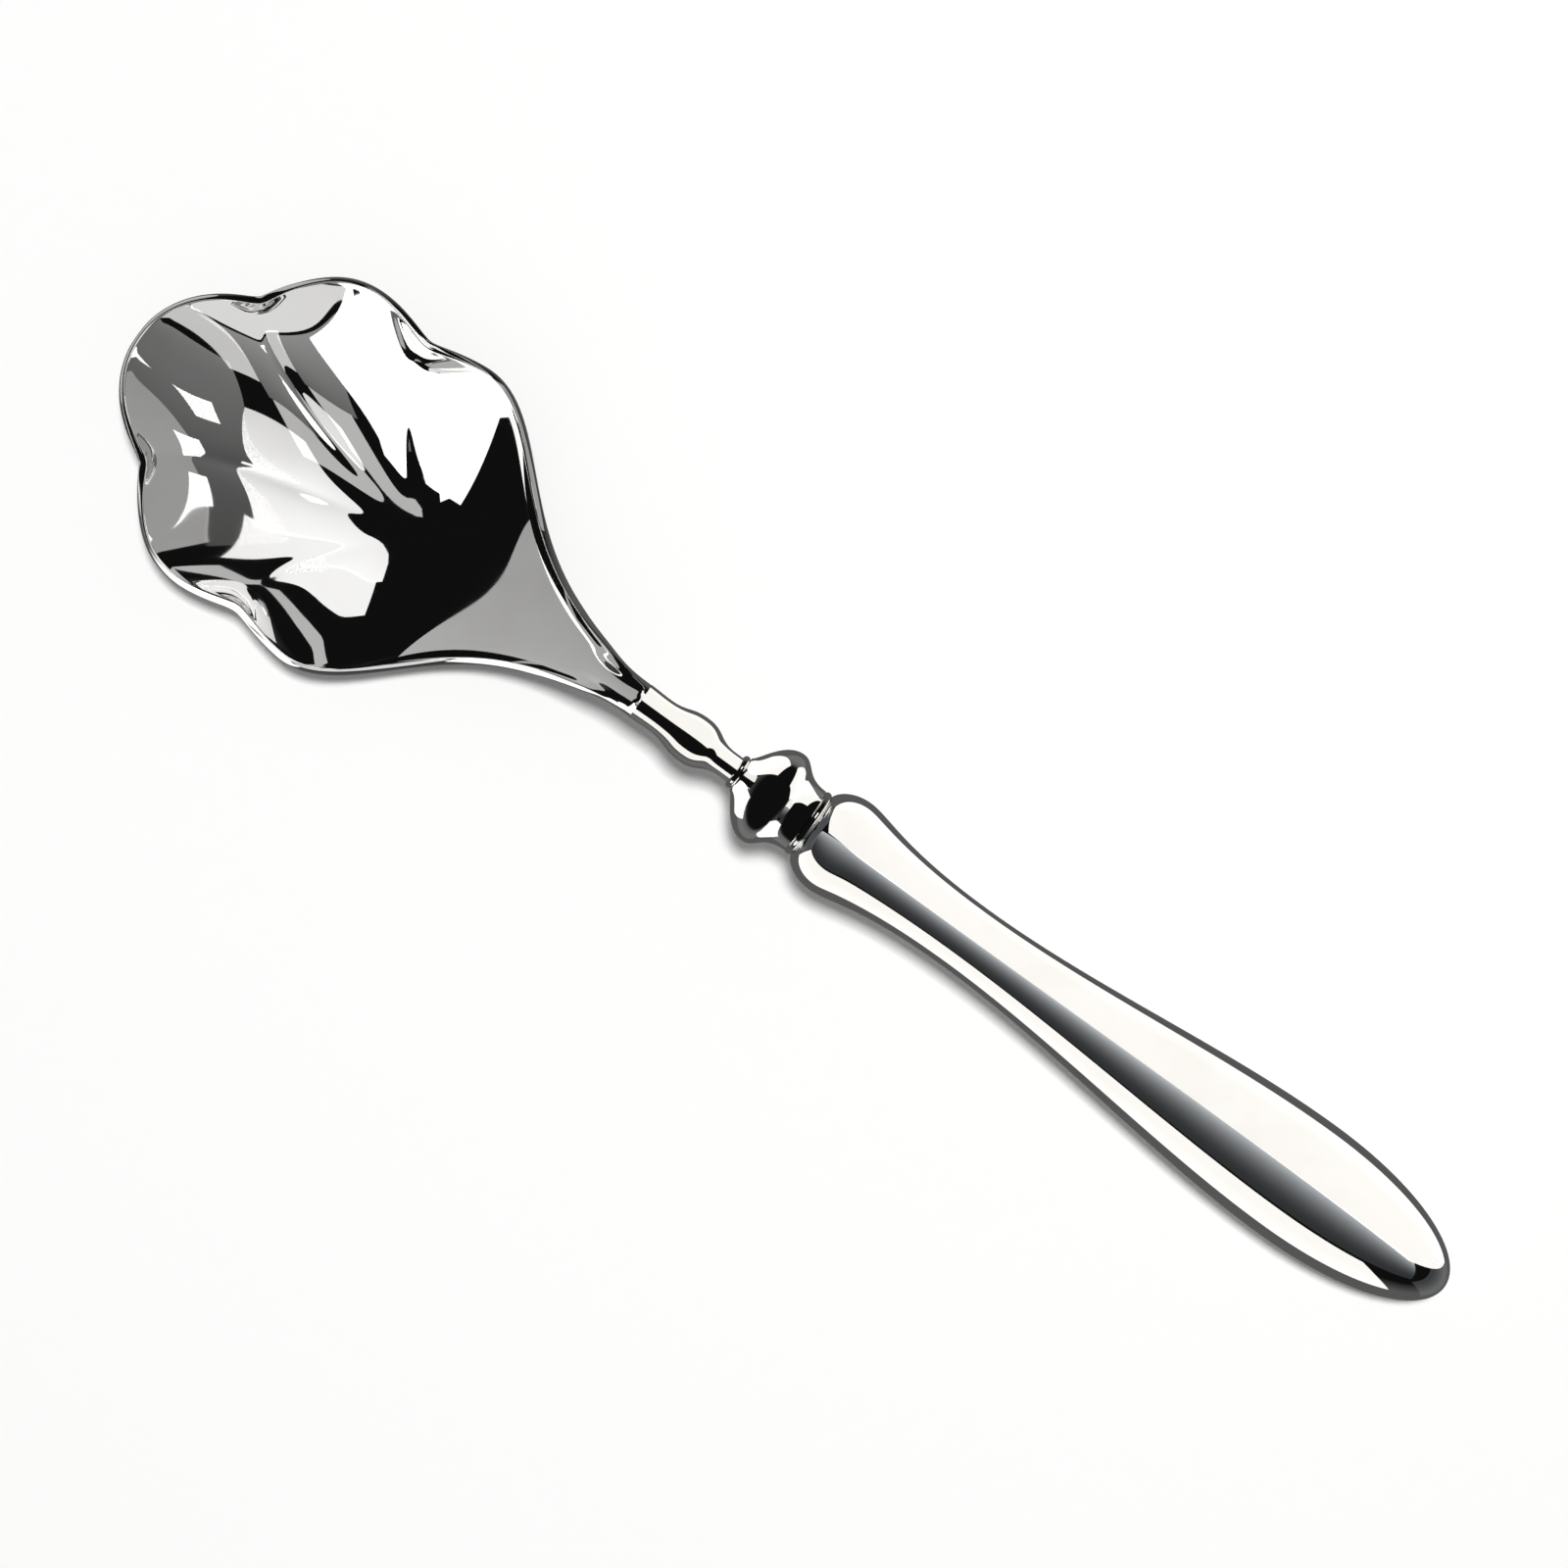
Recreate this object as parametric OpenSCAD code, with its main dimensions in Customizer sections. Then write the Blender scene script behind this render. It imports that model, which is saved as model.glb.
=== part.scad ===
// Shell serving spoon: a fluted pressed bowl on a turned stem, a beaded neck and a hollow handle.
// Millimetres, +Z up, bowl towards -X. The origin is the bottom centre of the spoon as it lies on a table,
// resting on the flat under its bowl and on the belly of its handle.

/* [Bowl] */
// From the widest station forward to the tip's outer edge, before the notches draw the rim in
bowl_front = 41.2; // [34:0.1:50]
// Width over the rim at the widest station, before the notches draw it in
bowl_width = 50; // [42:0.1:58]
// Depth of the hollow below the rim at its widest station
bowl_depth = 11; // [9.5:0.1:13]
// Distance of the floor's lowest place behind the widest station
keel_back = 4; // [3:0.1:8]
// How far the floor has risen at the tip, below the tip's own wall
nose_rise = 4.8; // [3.5:0.1:6.5]
// Thickness of the pressed sheet
sheet = 1.3; // [0.9:0.05:1.6]
// Depth of the flat that the bowl rests on
rest_flat = 0.15; // [0.08:0.01:0.25]

/* [Flutes] */
// Distance of the point where the ridges meet, behind the widest station
hinge_back = 5.4; // [4:0.1:8]
// Angle of the front notch in the rim, seen from the hinge
front_notch = 21; // [17:0.5:24]
// Angle of the front notch's ridge on the floor
front_ridge = 13; // [9:0.5:16]
// Angle of the side notch in the rim, seen from the hinge
side_notch = 58.7; // [54:0.1:64]
// Angle of the side notch's ridge on the floor
side_ridge = 45; // [40:0.5:54]
// Depth of the front notch, as a share of its distance from the hinge
front_dip = 0.09; // [0.05:0.005:0.11]
// Depth of the side notch, as a share of its distance from the hinge
side_dip = 0.117; // [0.07:0.001:0.13]
// Width over which a notch fades into its lobes
notch_fade = 4.7; // [3.5:0.1:6]
// Round at the bottom of a notch
notch_round = 1.8; // [1.4:0.1:2.6]
// How far the lobe between two notches stands out, as a share of its distance from the hinge
lobe_gain = 0.112; // [0.04:0.002:0.13]
// Angle of that lobe's middle, seen from the hinge
lobe_angle = 44.3; // [40:0.1:48]
// Half of the angle that the lobe takes up
lobe_spread = 13.6; // [10:0.1:17]
// Height of the ridges on the floor of the bowl
ridge_height = 0.6; // [0.4:0.05:0.8]
// Width over which a ridge fades into the floor
ridge_fade = 1.2; // [1:0.05:1.8]

/* [Throat] */
// From the widest station back to the joint with the stem
throat_length = 44.7; // [38:0.1:54]
// Distance behind the widest station at which the throat has lost half its width
throat_half = 17.9; // [14:0.1:22]
// Diameter of the round neck at the joint
neck_d = 5.2; // [4.4:0.1:6.4]
// Height of the neck joint's centre above the table
neck_height = 19.8; // [17:0.1:23]
// Depth of the channel in the throat where it turns round
channel_depth = 1.2; // [0.6:0.1:1.4]
// Width of the channel's rounded end
channel_end_w = 3.7; // [2.6:0.1:4.2]
// Solid neck between the channel's end and the joint
channel_end_gap = 0.5; // [0.3:0.1:1.5]

/* [Stem] */
// Length of the turned stem
stem_length = 15.6; // [12:0.1:22]
// Diameter at the hollow behind the neck joint
stem_hollow_d = 5; // [4.2:0.1:6]
// Distance of that hollow from the neck joint
stem_hollow_at = 3.2; // [2:0.1:4]
// Diameter of the stem's swelling
stem_swell_d = 6.9; // [6.2:0.1:9]
// Distance of the swelling from the neck joint
stem_swell_at = 8.8; // [7:0.1:10]
// Diameter of the stem's waist
stem_waist_d = 3.8; // [3.5:0.1:4.6]
// Length of the waist's run up to the neck ring
stem_waist_run = 1.2; // [0.6:0.1:1.6]

/* [Knop and rings] */
// Diameter of the thin ring before the knop
neck_ring_d = 5; // [4.4:0.1:7]
// Thickness of the thin ring
neck_ring_t = 1; // [0.7:0.1:1.6]
// Diameter of the knop
knop_d = 14.2; // [12:0.1:18]
// Length of the knop
knop_length = 10.5; // [8.5:0.1:14]
// Distance of the knop's widest place from its front
knop_wide_at = 5.3; // [4:0.1:6]
// Diameter of the knop's front end
knop_front_d = 5.2; // [4.8:0.1:8]
// Diameter of the knop's rear end
knop_rear_d = 9.6; // [8.6:0.1:11]
// Diameter of the collar ring between knop and handle
collar_d = 9.9; // [9:0.1:12]
// Thickness of the collar ring
collar_t = 1.2; // [0.9:0.1:2]

/* [Handle] */
// Length of the handle
handle_length = 106; // [90:0.5:130]
// Diameter of the handle's mouth
mouth_d = 9.6; // [8.6:0.1:11]
// Diameter of the swelling behind the mouth
handle_swell_d = 14.2; // [12:0.1:16.5]
// Distance of that swelling from the mouth
handle_swell_at = 4.7; // [4:0.1:7]
// Diameter of the waist
handle_waist_d = 9.7; // [8.5:0.1:11.5]
// Distance of the waist from the mouth
handle_waist_at = 25.6; // [20:0.1:32]
// Diameter of the belly near the tail
handle_belly_d = 17.9; // [15:0.1:21]
// Distance of the belly from the tail end
handle_belly_back = 24.8; // [20:0.1:30]
// Wall of the two handle shells
handle_wall = 0.8; // [0.6:0.05:1.2]

/* [Inner pieces] */
// Diameter of the tang rod and of the bowl's spigot
tang_d = 2.4; // [1.8:0.1:2.6]
// Length of the bowl's spigot inside the stem
spigot_length = 5; // [3:0.1:6]
// How far the tang rod reaches into the handle
tang_reach = 45; // [30:0.5:60]
// Number of grip grooves near the rod's end
groove_count = 5; // [3:1:8]
// Depth of a grip groove
groove_depth = 0.3; // [0.15:0.05:0.4]
// Thickness of the plug in the handle's mouth
plug_t = 2.5; // [1.5:0.1:4]
// Unfilled room between the filler and the tail end
tail_room = 14; // [8:0.5:20]
// Clearance around each brazed joint
braze_gap = 0.05; // [0.02:0.01:0.1]
// Clearance around the filler
fill_gap = 0.1; // [0.05:0.01:0.3]

/* [Hidden] */

// Steps of the bowl's surface: along the throat, around the front and from the middle to the rim
throat_steps = 26;
front_steps = 54;
cross_steps = 14;
// Steps of one stretch of a turned outline, and of a full turn
outline_steps = 10;
turn_steps = 96;

// How the hollow rises: up the nose and the tip's wall, and up the walls at the side, the tip and the throat
nose_power = 2.6;
tip_power = 2.9;
wall_power = 2;
round_power = 2.7;
throat_power = 2.2;
// Share of the throat over which its floor grows flatter
throat_power_share = 0.9;
// How fast the throat's walls fade as it narrows
wall_fade_power = 2;
// Round at the foot of the ramp up the throat, as a share of the ramp
ramp_round = 0.35;
// Sharpness of the throat's flare near the bowl and near the neck
flare_power = 2.5;
flare_end_power = 3;
// How close to the rim the notches keep
notch_power = 2;
// Round on a ridge's crest, and the stretch from the hinge over which ridges grow
ridge_round = 0.6;
ridge_start = 3;
ridge_full = 22;
// Notches as [angle on the floor, angle at the rim, share taken away]
notches = [[front_ridge, front_notch, front_dip], [side_ridge, side_notch, side_dip]];
// How far the outer edge of the rim stands outside the inner one
rim_lip = 0.75 * sheet;

// Stretch over which the channelled throat turns into the round neck, and the share of it used for that
neck_turn = 1.5 * neck_d;
neck_turn_share = 0.7;
// Half of the angle of the neck that each face of the sheet runs to
neck_side_angle = 80;
// How much closer the surface's steps lie near the neck
neck_step_power = 1.3;
// Step for the surface's slope, and the place beside the middle line where the slope there is taken
slope_step = 0.004;
slope_aside = 0.03;

// Pulls of the turned outlines, each as a share of the stretch or the rise that it belongs to
shoulder_pull = [0.48, 0.1, 0.53];
waist_pull = [0.15, 0.68];
belly_pull = [0.33, 0.33];
tail_pull = [0.6, 0.55];
knop_front_pull = [0.13, 0.17, 0.55];
knop_rear_pull = [0.36, 0.64];
stem_pull = [0.33, 0.5];

bore_r = tang_d / 2 + braze_gap;
floor_z = sheet - rest_flat;
neck_r = neck_d / 2;
neck_top = neck_height + neck_r;
// Where the ramp up the throat ends, behind the widest station
ramp_end = throat_length - channel_end_gap - channel_end_w / 2;

// Stations along the axis, counted from the neck joint
ring_at = stem_length;
knop_at = ring_at + neck_ring_t;
collar_at = knop_at + knop_length;
handle_at = collar_at + collar_t;
handle_belly_at = handle_length - handle_belly_back;
axis_length = handle_at + handle_length;

function mix(a, b, share) = a + (b - a) * share;
function clamp(v) = min(1, max(0, v));
function ease(v) = let (c = clamp(v)) c * c * (3 - 2 * c);

// A cubic curve through its end points, without its first point
function curve(a, b, c, d) = [
    for (i = [1:outline_steps])
        let (t = i / outline_steps, u = 1 - t)
            u * u * u * a + 3 * u * u * t * b + 3 * u * t * t * c + t * t * t * d];

// A turned outline between two [radius, station] points with level tangents, pulled along at each of them
function swell(a, b, pulls) = curve(a, a + [0, pulls[0]], b - [0, pulls[1]], b);

// The same outline moved towards the axis by a wall
function inset(points, wall) = [
    for (i = [0:len(points) - 1])
        let (
            along = points[min(i + 1, len(points) - 1)] - points[max(i - 1, 0)],
            way = [-along[1], along[0]] / norm(along))
                i == 0 ? points[i] - [wall, 0]
                : i == len(points) - 1 ? points[i] - [0, wall]
                : points[i] + wall * way];

// Outline of the handle from its mouth to its tail
mouth_point = [mouth_d / 2, 0];
swell_point = [handle_swell_d / 2, handle_swell_at];
waist_point = [handle_waist_d / 2, handle_waist_at];
belly_point = [handle_belly_d / 2, handle_belly_at];
tail_point = [0, handle_length];
shoulder_rise = swell_point[0] - mouth_point[0];
waist_stretch = handle_waist_at - handle_swell_at;
belly_stretch = handle_belly_at - handle_waist_at;
handle_outline = concat(
    [mouth_point],
    curve(mouth_point, mouth_point + [shoulder_pull[0] * shoulder_rise, shoulder_pull[1] * handle_swell_at],
        swell_point - [0, shoulder_pull[2] * handle_swell_at], swell_point),
    swell(swell_point, waist_point, waist_pull * waist_stretch),
    swell(waist_point, belly_point, belly_pull * belly_stretch),
    curve(belly_point, belly_point + [0, tail_pull[0] * handle_belly_back],
        tail_point + [tail_pull[1] * belly_point[0], 0], tail_point));

// The tilt at which the handle's belly meets the table, and the place of the neck joint
rest_tilt = min([for (p = handle_outline)
    let (station = handle_at + p[1])
        asin(neck_height / norm([station, p[0]])) - atan2(p[0], station)]);
tail_x = max([for (p = handle_outline) (handle_at + p[1]) * cos(rest_tilt) + p[0] * sin(rest_tilt)]);
tip_x = min([for (row = [0:cross_steps]) outer_face(2, row / cross_steps)[0]]) - throat_length;
neck_x = -(tip_x + tail_x) / 2;
bowl_x = neck_x - throat_length;

// Bowl: a point of the inner face. way runs from the neck joint (0) over the widest station (1) to the
// tip (2), reach from the middle line (0) to the rim (1). X counts from the widest station.

// Inner half width of the throat behind the widest station
function throat_half_width(x) = neck_r - rim_lip + (bowl_width / 2 - neck_r)
    * (1 - pow(x / throat_length, flare_end_power)) / (1 + pow(x / throat_half, flare_power));

// Height of the middle line: a ramp up the throat behind its lowest place, and the nose before it
function soft_ramp(t) = norm([t, ramp_round]) - ramp_round;
function keel(x) = floor_z + (x > keel_back
    ? (neck_top - channel_depth - floor_z) * soft_ramp((x - keel_back) / (ramp_end - keel_back)) / soft_ramp(1)
    : nose_rise * pow((keel_back - x) / (keel_back + bowl_front), nose_power));

// Height of the throat's walls above the middle line
function throat_wall(x) = mix(channel_depth, floor_z + bowl_depth - keel(0),
    pow(throat_half_width(x) / throat_half_width(0), wall_fade_power));

// Plain point of the hollow before its flutes: [x, y, z, share of the rim's height]
function throat_hollow(x, reach) =
    let (
        power = mix(wall_power, throat_power, ease(x / throat_length / throat_power_share)),
        share = pow(reach, power))
            [x, reach * throat_half_width(x), keel(x) + throat_wall(x) * share, share];
function front_hollow(angle, reach) =
    let (
        ahead = reach * cos(angle),
        room = sqrt(max(0, 1 - ahead * ahead)),
        aside = room > 0 ? min(1, reach * sin(angle) / room) : 1,
        lift = pow(ahead, tip_power),
        power = mix(wall_power, round_power, ahead * ahead),
        share = lift + (1 - lift) * pow(aside, power),
        x = -(bowl_front - rim_lip) * ahead)
            [x, (bowl_width / 2 - rim_lip) * reach * sin(angle), mix(keel(x), floor_z + bowl_depth, share), share];

// 1 on a crease, fading away over a stretch on both sides of it
function crease(distance, rounding, fade) =
    exp(-(sqrt(distance * distance + rounding * rounding) - rounding) / fade);
function arc_length(angle, radius) = angle * PI / 180 * radius;

// The hollow with its notches, lobes and ridges
function fluted(p) =
    let (
        ahead = hinge_back - p[0],
        radius = norm([ahead, p[1]]),
        angle = atan2(p[1], ahead),
        apart = [for (side = [-1, 1]) for (n = notches)
            arc_length(angle - side * mix(n[0], n[1], p[3]), radius)],
        dip = [for (i = [0:len(apart) - 1])
            notches[i % len(notches)][2] * crease(apart[i], notch_round, notch_fade)],
        gain = [for (side = [-1, 1]) lobe_gain * exp(-pow((angle - side * lobe_angle) / lobe_spread, 2))],
        ridge = [for (a = apart) crease(a, ridge_round, ridge_fade)],
        scale = 1 + p[3] * total(gain) - pow(p[3], notch_power) * total(dip),
        growth = ease((radius - ridge_start) / (ridge_full - ridge_start)) * (1 - p[3]))
            [hinge_back - ahead * scale, p[1] * scale, p[2] + ridge_height * growth * total(ridge)];
function total(list) = list * [for (v = list) 1];

function throat_x(way) = throat_length * (1 - pow(way, neck_step_power));
function shell_point(way, reach) = fluted(
    way < 1 ? throat_hollow(throat_x(way), reach) : front_hollow(90 * (2 - way), reach));

// Direction square to the inner face, pointing up out of the hollow
function shell_normal(way, reach) =
    let (
        inner = max(reach, slope_aside),
        back = max(way - slope_step, 0),
        ahead = min(way + slope_step, 2),
        along = shell_point(ahead, inner) - shell_point(back, inner),
        across = shell_point(way, min(inner + slope_step, 1)) - shell_point(way, inner - slope_step),
        square = cross(across, along))
            square / norm(square);

// Round neck: a point at a station before the joint and an angle from the top, with the channel cut in, which
// keeps to the ramp up to its rounded end
neck_along = [cos(rest_tilt), 0, -sin(rest_tilt)];
neck_up = [sin(rest_tilt), 0, cos(rest_tilt)];
function channel_cut(station, aside) =
    let (
        end_r = channel_end_w / 2,
        past = max(0, station + channel_end_gap + end_r),
        top = neck_top + station * neck_along[2],
        deep = max(channel_depth, top - keel(throat_length + station)))
            deep * max(0, 1 - (aside * aside + past * past) / (end_r * end_r));
function neck_point(station, angle) =
    let (
        aside = neck_r * sin(angle),
        cut = angle < 90 ? channel_cut(station, aside) : 0)
            [throat_length, 0, neck_height] + station * neck_along + [0, aside, 0]
                + (neck_r * cos(angle) - cut) * neck_up;

// Inner and outer face of the bowl and its neck
function roundness(way) =
    way < 1 ? ease((throat_x(way) - throat_length + neck_turn) / (neck_turn_share * neck_turn)) : 0;
function inner_face(way, reach) =
    let (share = roundness(way), shell = shell_point(way, reach))
        share == 0 ? shell
        : mix(shell, neck_point(throat_x(way) - throat_length, neck_side_angle * reach), share);
function outer_face(way, reach) =
    let (share = roundness(way), shell = shell_point(way, reach) - sheet * shell_normal(way, reach))
        share == 0 ? shell
        : mix(shell, neck_point(throat_x(way) - throat_length, 180 - neck_side_angle * reach), share);

// The bowl as one closed surface. Columns run along the rim from the neck round the tip and back, rows from
// the middle line to the rim, and the points of the middle line are shared by both sides.
side_steps = throat_steps + front_steps;
columns = 2 * side_steps;
function column_way(c) =
    let (k = c <= side_steps ? c : columns - c)
        k <= throat_steps ? k / throat_steps : 1 + (k - throat_steps) / front_steps;
function flip(p, c) = c <= side_steps ? p : [p[0], -p[1], p[2]];
function middle_index(c) = min(c, columns - c, throat_steps);
function face_index(base, c, row) =
    row == 0 ? base + middle_index(c) : base + throat_steps + 1 + c * cross_steps + row - 1;

inner_base = 0;
outer_base = throat_steps + 1 + (columns + 1) * cross_steps;
neck_centre = 2 * outer_base;
shell_points = concat(
    [for (c = [0:throat_steps]) inner_face(column_way(c), 0)],
    [for (c = [0:columns]) for (row = [1:cross_steps]) flip(inner_face(column_way(c), row / cross_steps), c)],
    [for (c = [0:throat_steps]) outer_face(column_way(c), 0)],
    [for (c = [0:columns]) for (row = [1:cross_steps]) flip(outer_face(column_way(c), row / cross_steps), c)],
    [[throat_length, 0, neck_height]]);

// Two triangles over four corners, without those that have shrunk to a line
function square_faces(a, b, c, d) = [
    for (t = [[a, b, c], [a, c, d]]) if (t[0] != t[1] && t[1] != t[2] && t[2] != t[0]) t];
function ring_index(i) =
    i <= cross_steps ? face_index(inner_base, 0, i)
    : i <= 2 * cross_steps + 1 ? face_index(outer_base, 0, 2 * cross_steps + 1 - i)
    : i <= 3 * cross_steps + 1 ? face_index(outer_base, columns, i - 2 * cross_steps - 1)
    : face_index(inner_base, columns, 4 * cross_steps + 2 - i);
neck_ring_points = 4 * cross_steps + 2;
shell_faces = concat(
    [for (c = [0:columns - 1]) for (row = [0:cross_steps - 1])
        each square_faces(
            face_index(inner_base, c, row), face_index(inner_base, c + 1, row),
            face_index(inner_base, c + 1, row + 1), face_index(inner_base, c, row + 1))],
    [for (c = [0:columns - 1]) for (row = [0:cross_steps - 1])
        each square_faces(
            face_index(outer_base, c, row), face_index(outer_base, c, row + 1),
            face_index(outer_base, c + 1, row + 1), face_index(outer_base, c + 1, row))],
    [for (c = [0:columns - 1])
        each square_faces(
            face_index(inner_base, c, cross_steps), face_index(inner_base, c + 1, cross_steps),
            face_index(outer_base, c + 1, cross_steps), face_index(outer_base, c, cross_steps))],
    [for (i = [0:neck_ring_points - 1])
        [ring_index(i), ring_index((i + 1) % neck_ring_points), neck_centre]]);

// Places a shape whose Z is the spoon's axis, counted from the neck joint, with its +Y to the top
module on_axis(station = 0) {
    translate([neck_x, 0, neck_height])
        rotate([0, rest_tilt, 0])
            rotate([90, 0, 90])
                translate([0, 0, station])
                    children();
}

// A turned piece with the tang's bore through it, from its outline of [radius, station] points
module bored_turning(outline) {
    last = outline[len(outline) - 1];
    rotate_extrude($fn = turn_steps)
        polygon(concat([[bore_r, outline[0][1]]], outline, [[bore_r, last[1]]]));
}

// A ring with a half round edge
module bead_ring(diameter, thickness) {
    edge_r = thickness / 2;
    bored_turning([for (i = [0:outline_steps])
        let (a = 180 * i / outline_steps)
            [diameter / 2 - edge_r + edge_r * sin(a), edge_r - edge_r * cos(a)]]);
}

module bowl() {
    root = neck_r / 2;
    bed = 2 * bowl_width;
    color("gainsboro")
        difference() {
            union() {
                translate([bowl_x, 0, 0])
                    polyhedron(points = shell_points, faces = shell_faces, convexity = 8);
                on_axis(-root)
                    cylinder(h = root + spigot_length, d = tang_d, $fn = turn_steps);
            }
            translate([bowl_x - bed / 2, -bed / 2, -bed])
                cube(bed);
        }
}

module stem() {
    front = [neck_r, 0];
    hollow = [stem_hollow_d / 2, stem_hollow_at];
    swelling = [stem_swell_d / 2, stem_swell_at];
    waist = [stem_waist_d / 2, stem_length - stem_waist_run];
    rear = [stem_waist_d / 2, stem_length];
    ease_in = stem_pull[0] * stem_hollow_at;
    rise = stem_pull[1] * (swelling[1] - hollow[1]);
    fall = stem_pull[1] * (waist[1] - swelling[1]);
    color("silver")
        on_axis()
            bored_turning(concat(
                [front],
                swell(front, hollow, [ease_in, ease_in]),
                swell(hollow, swelling, [rise, rise]),
                swell(swelling, waist, [fall, fall]),
                [rear]));
}

module neck_ring() {
    color("gainsboro")
        on_axis(ring_at)
            bead_ring(neck_ring_d, neck_ring_t);
}

module knop() {
    front = [knop_front_d / 2, 0];
    wide = [knop_d / 2, knop_wide_at];
    rear = [knop_rear_d / 2, knop_length];
    rise = wide[0] - front[0];
    behind = knop_length - knop_wide_at;
    color("silver")
        on_axis(knop_at)
            bored_turning(concat(
                [front],
                curve(front, front + [knop_front_pull[0] * rise, knop_front_pull[1] * knop_wide_at],
                    wide - [0, knop_front_pull[2] * knop_wide_at], wide),
                swell(wide, rear, knop_rear_pull * behind)));
}

module collar_ring() {
    color("gainsboro")
        on_axis(collar_at)
            bead_ring(collar_d, collar_t);
}

// The rod starts behind the bowl's spigot inside the stem and ends in the handle's filler
module tang_rod() {
    start = spigot_length + braze_gap;
    end = handle_at + tang_reach;
    rod_r = tang_d / 2;
    pitch = 2 * tang_d;
    color("darkgray")
        on_axis()
            rotate_extrude($fn = turn_steps)
                polygon(concat(
                    [[0, start], [rod_r, start]],
                    [for (i = [groove_count:-1:1])
                        let (at = end - i * pitch)
                            each [[rod_r, at], [rod_r - groove_depth, at + groove_depth],
                                [rod_r - groove_depth, at + tang_d - groove_depth], [rod_r, at + tang_d]]],
                    [[rod_r, end], [0, end]]));
}

module mouth_plug() {
    plug_r = mouth_d / 2 - handle_wall - braze_gap;
    color("darkgray")
        on_axis(handle_at)
            bored_turning([[plug_r, 0], [plug_r, plug_t]]);
}

// Half of the hollow handle, seam at both sides of the spoon
module handle_shell() {
    inner = inset(handle_outline, handle_wall);
    rotate_extrude(angle = 180, $fn = turn_steps)
        polygon(concat(handle_outline, [for (i = [len(inner) - 1:-1:0]) inner[i]]));
}

module handle_upper_shell() {
    color("silver")
        on_axis(handle_at)
            handle_shell();
}

module handle_lower_shell() {
    color("silver")
        on_axis(handle_at)
            rotate([0, 0, 180])
                handle_shell();
}

// Set filler around the rod, from the plug to the unfilled room at the tail
module handle_filler() {
    inner = inset(handle_outline, handle_wall + fill_gap);
    by_station = [for (p = inner) [p[1], p[0]]];
    start = plug_t + fill_gap;
    end = handle_length - tail_room;
    rod_room = tang_reach + fill_gap;
    hole_r = tang_d / 2 + fill_gap;
    color("tan")
        on_axis(handle_at)
            rotate_extrude($fn = turn_steps)
                polygon(concat(
                    [[hole_r, start], [lookup(start, by_station), start]],
                    [for (p = inner) if (p[1] > start && p[1] < end) p],
                    [[lookup(end, by_station), end], [0, end], [0, rod_room], [hole_r, rod_room]]));
}

bowl();
stem();
neck_ring();
knop();
collar_ring();
tang_rod();
mouth_plug();
handle_upper_shell();
handle_lower_shell();
handle_filler();
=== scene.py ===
import math
from types import SimpleNamespace

import bmesh
import bpy
from bpy.props import FloatProperty, FloatVectorProperty, IntProperty, PointerProperty
from bpy.types import Operator, Panel, PropertyGroup
from mathutils import Matrix, Quaternion, Vector


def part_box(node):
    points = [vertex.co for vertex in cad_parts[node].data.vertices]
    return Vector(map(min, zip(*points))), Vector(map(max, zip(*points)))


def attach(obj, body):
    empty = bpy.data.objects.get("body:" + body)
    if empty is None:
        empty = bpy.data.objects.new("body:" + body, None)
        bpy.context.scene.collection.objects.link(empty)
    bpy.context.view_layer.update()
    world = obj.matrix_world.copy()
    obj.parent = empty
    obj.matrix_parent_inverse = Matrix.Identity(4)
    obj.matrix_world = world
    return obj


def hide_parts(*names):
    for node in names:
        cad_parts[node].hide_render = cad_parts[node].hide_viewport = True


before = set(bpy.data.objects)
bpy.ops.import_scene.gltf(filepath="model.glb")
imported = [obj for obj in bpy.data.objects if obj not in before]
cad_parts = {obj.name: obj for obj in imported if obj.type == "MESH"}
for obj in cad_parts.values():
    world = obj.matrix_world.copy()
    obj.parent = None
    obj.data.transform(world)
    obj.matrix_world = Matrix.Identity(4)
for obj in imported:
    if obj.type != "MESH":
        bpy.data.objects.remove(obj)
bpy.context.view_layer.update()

bl_info = {
    "name": "Shell Serving Spoon",
    "version": (1, 0, 0),
    "blender": (4, 5, 0),
    "location": "View3D > Sidebar > Spoon",
    "description": "Builds a polished shell serving spoon with a fluted bowl and a hollow handle",
    "category": "Add Mesh",
}

MM = 0.001
BODY = "root"

# How the hollow rises: up the nose and the tip's wall, and up the walls at the side, the tip and the throat
NOSE_POWER = 2.6
TIP_POWER = 2.9
WALL_POWER = 2
ROUND_POWER = 2.7
THROAT_POWER = 2.2
# Share of the throat over which its floor grows flatter, and how fast its walls fade as it narrows
THROAT_POWER_SHARE = 0.9
WALL_FADE_POWER = 2
# Round at the foot of the ramp up the throat, as a share of the ramp
RAMP_ROUND = 0.35
# Sharpness of the throat's flare near the bowl and near the neck
FLARE_POWER = 2.5
FLARE_END_POWER = 3
# How close to the rim the notches keep
NOTCH_POWER = 2
# Round on a ridge's crest, and the stretch from the hinge over which ridges grow
RIDGE_ROUND = 0.6 * MM
RIDGE_START = 3 * MM
RIDGE_FULL = 22 * MM
# How far the outer edge of the rim stands outside the inner one, as a share of the sheet
RIM_LEAN = 0.75
# Stretch over which the throat turns round, in neck diameters, and the share of it used for that
NECK_TURN = 1.5
NECK_TURN_SHARE = 0.7
NECK_SIDE_ANGLE = math.radians(80)
NECK_STEP_POWER = 1.3
# How often and how strongly the neck is smoothed, and where that starts and ends before the joint
NECK_SMOOTHINGS = 120
NECK_SMOOTHING_SHARE = 0.5
NECK_CALM_FROM = 14 * MM
NECK_CALM_TO = 3 * MM
NECK_CALM_END = 0.5 * MM
# Step for the surface's slope, and the place beside the middle line where the slope there is taken
SLOPE_STEP = 0.004
SLOPE_ASIDE = 0.03
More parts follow.
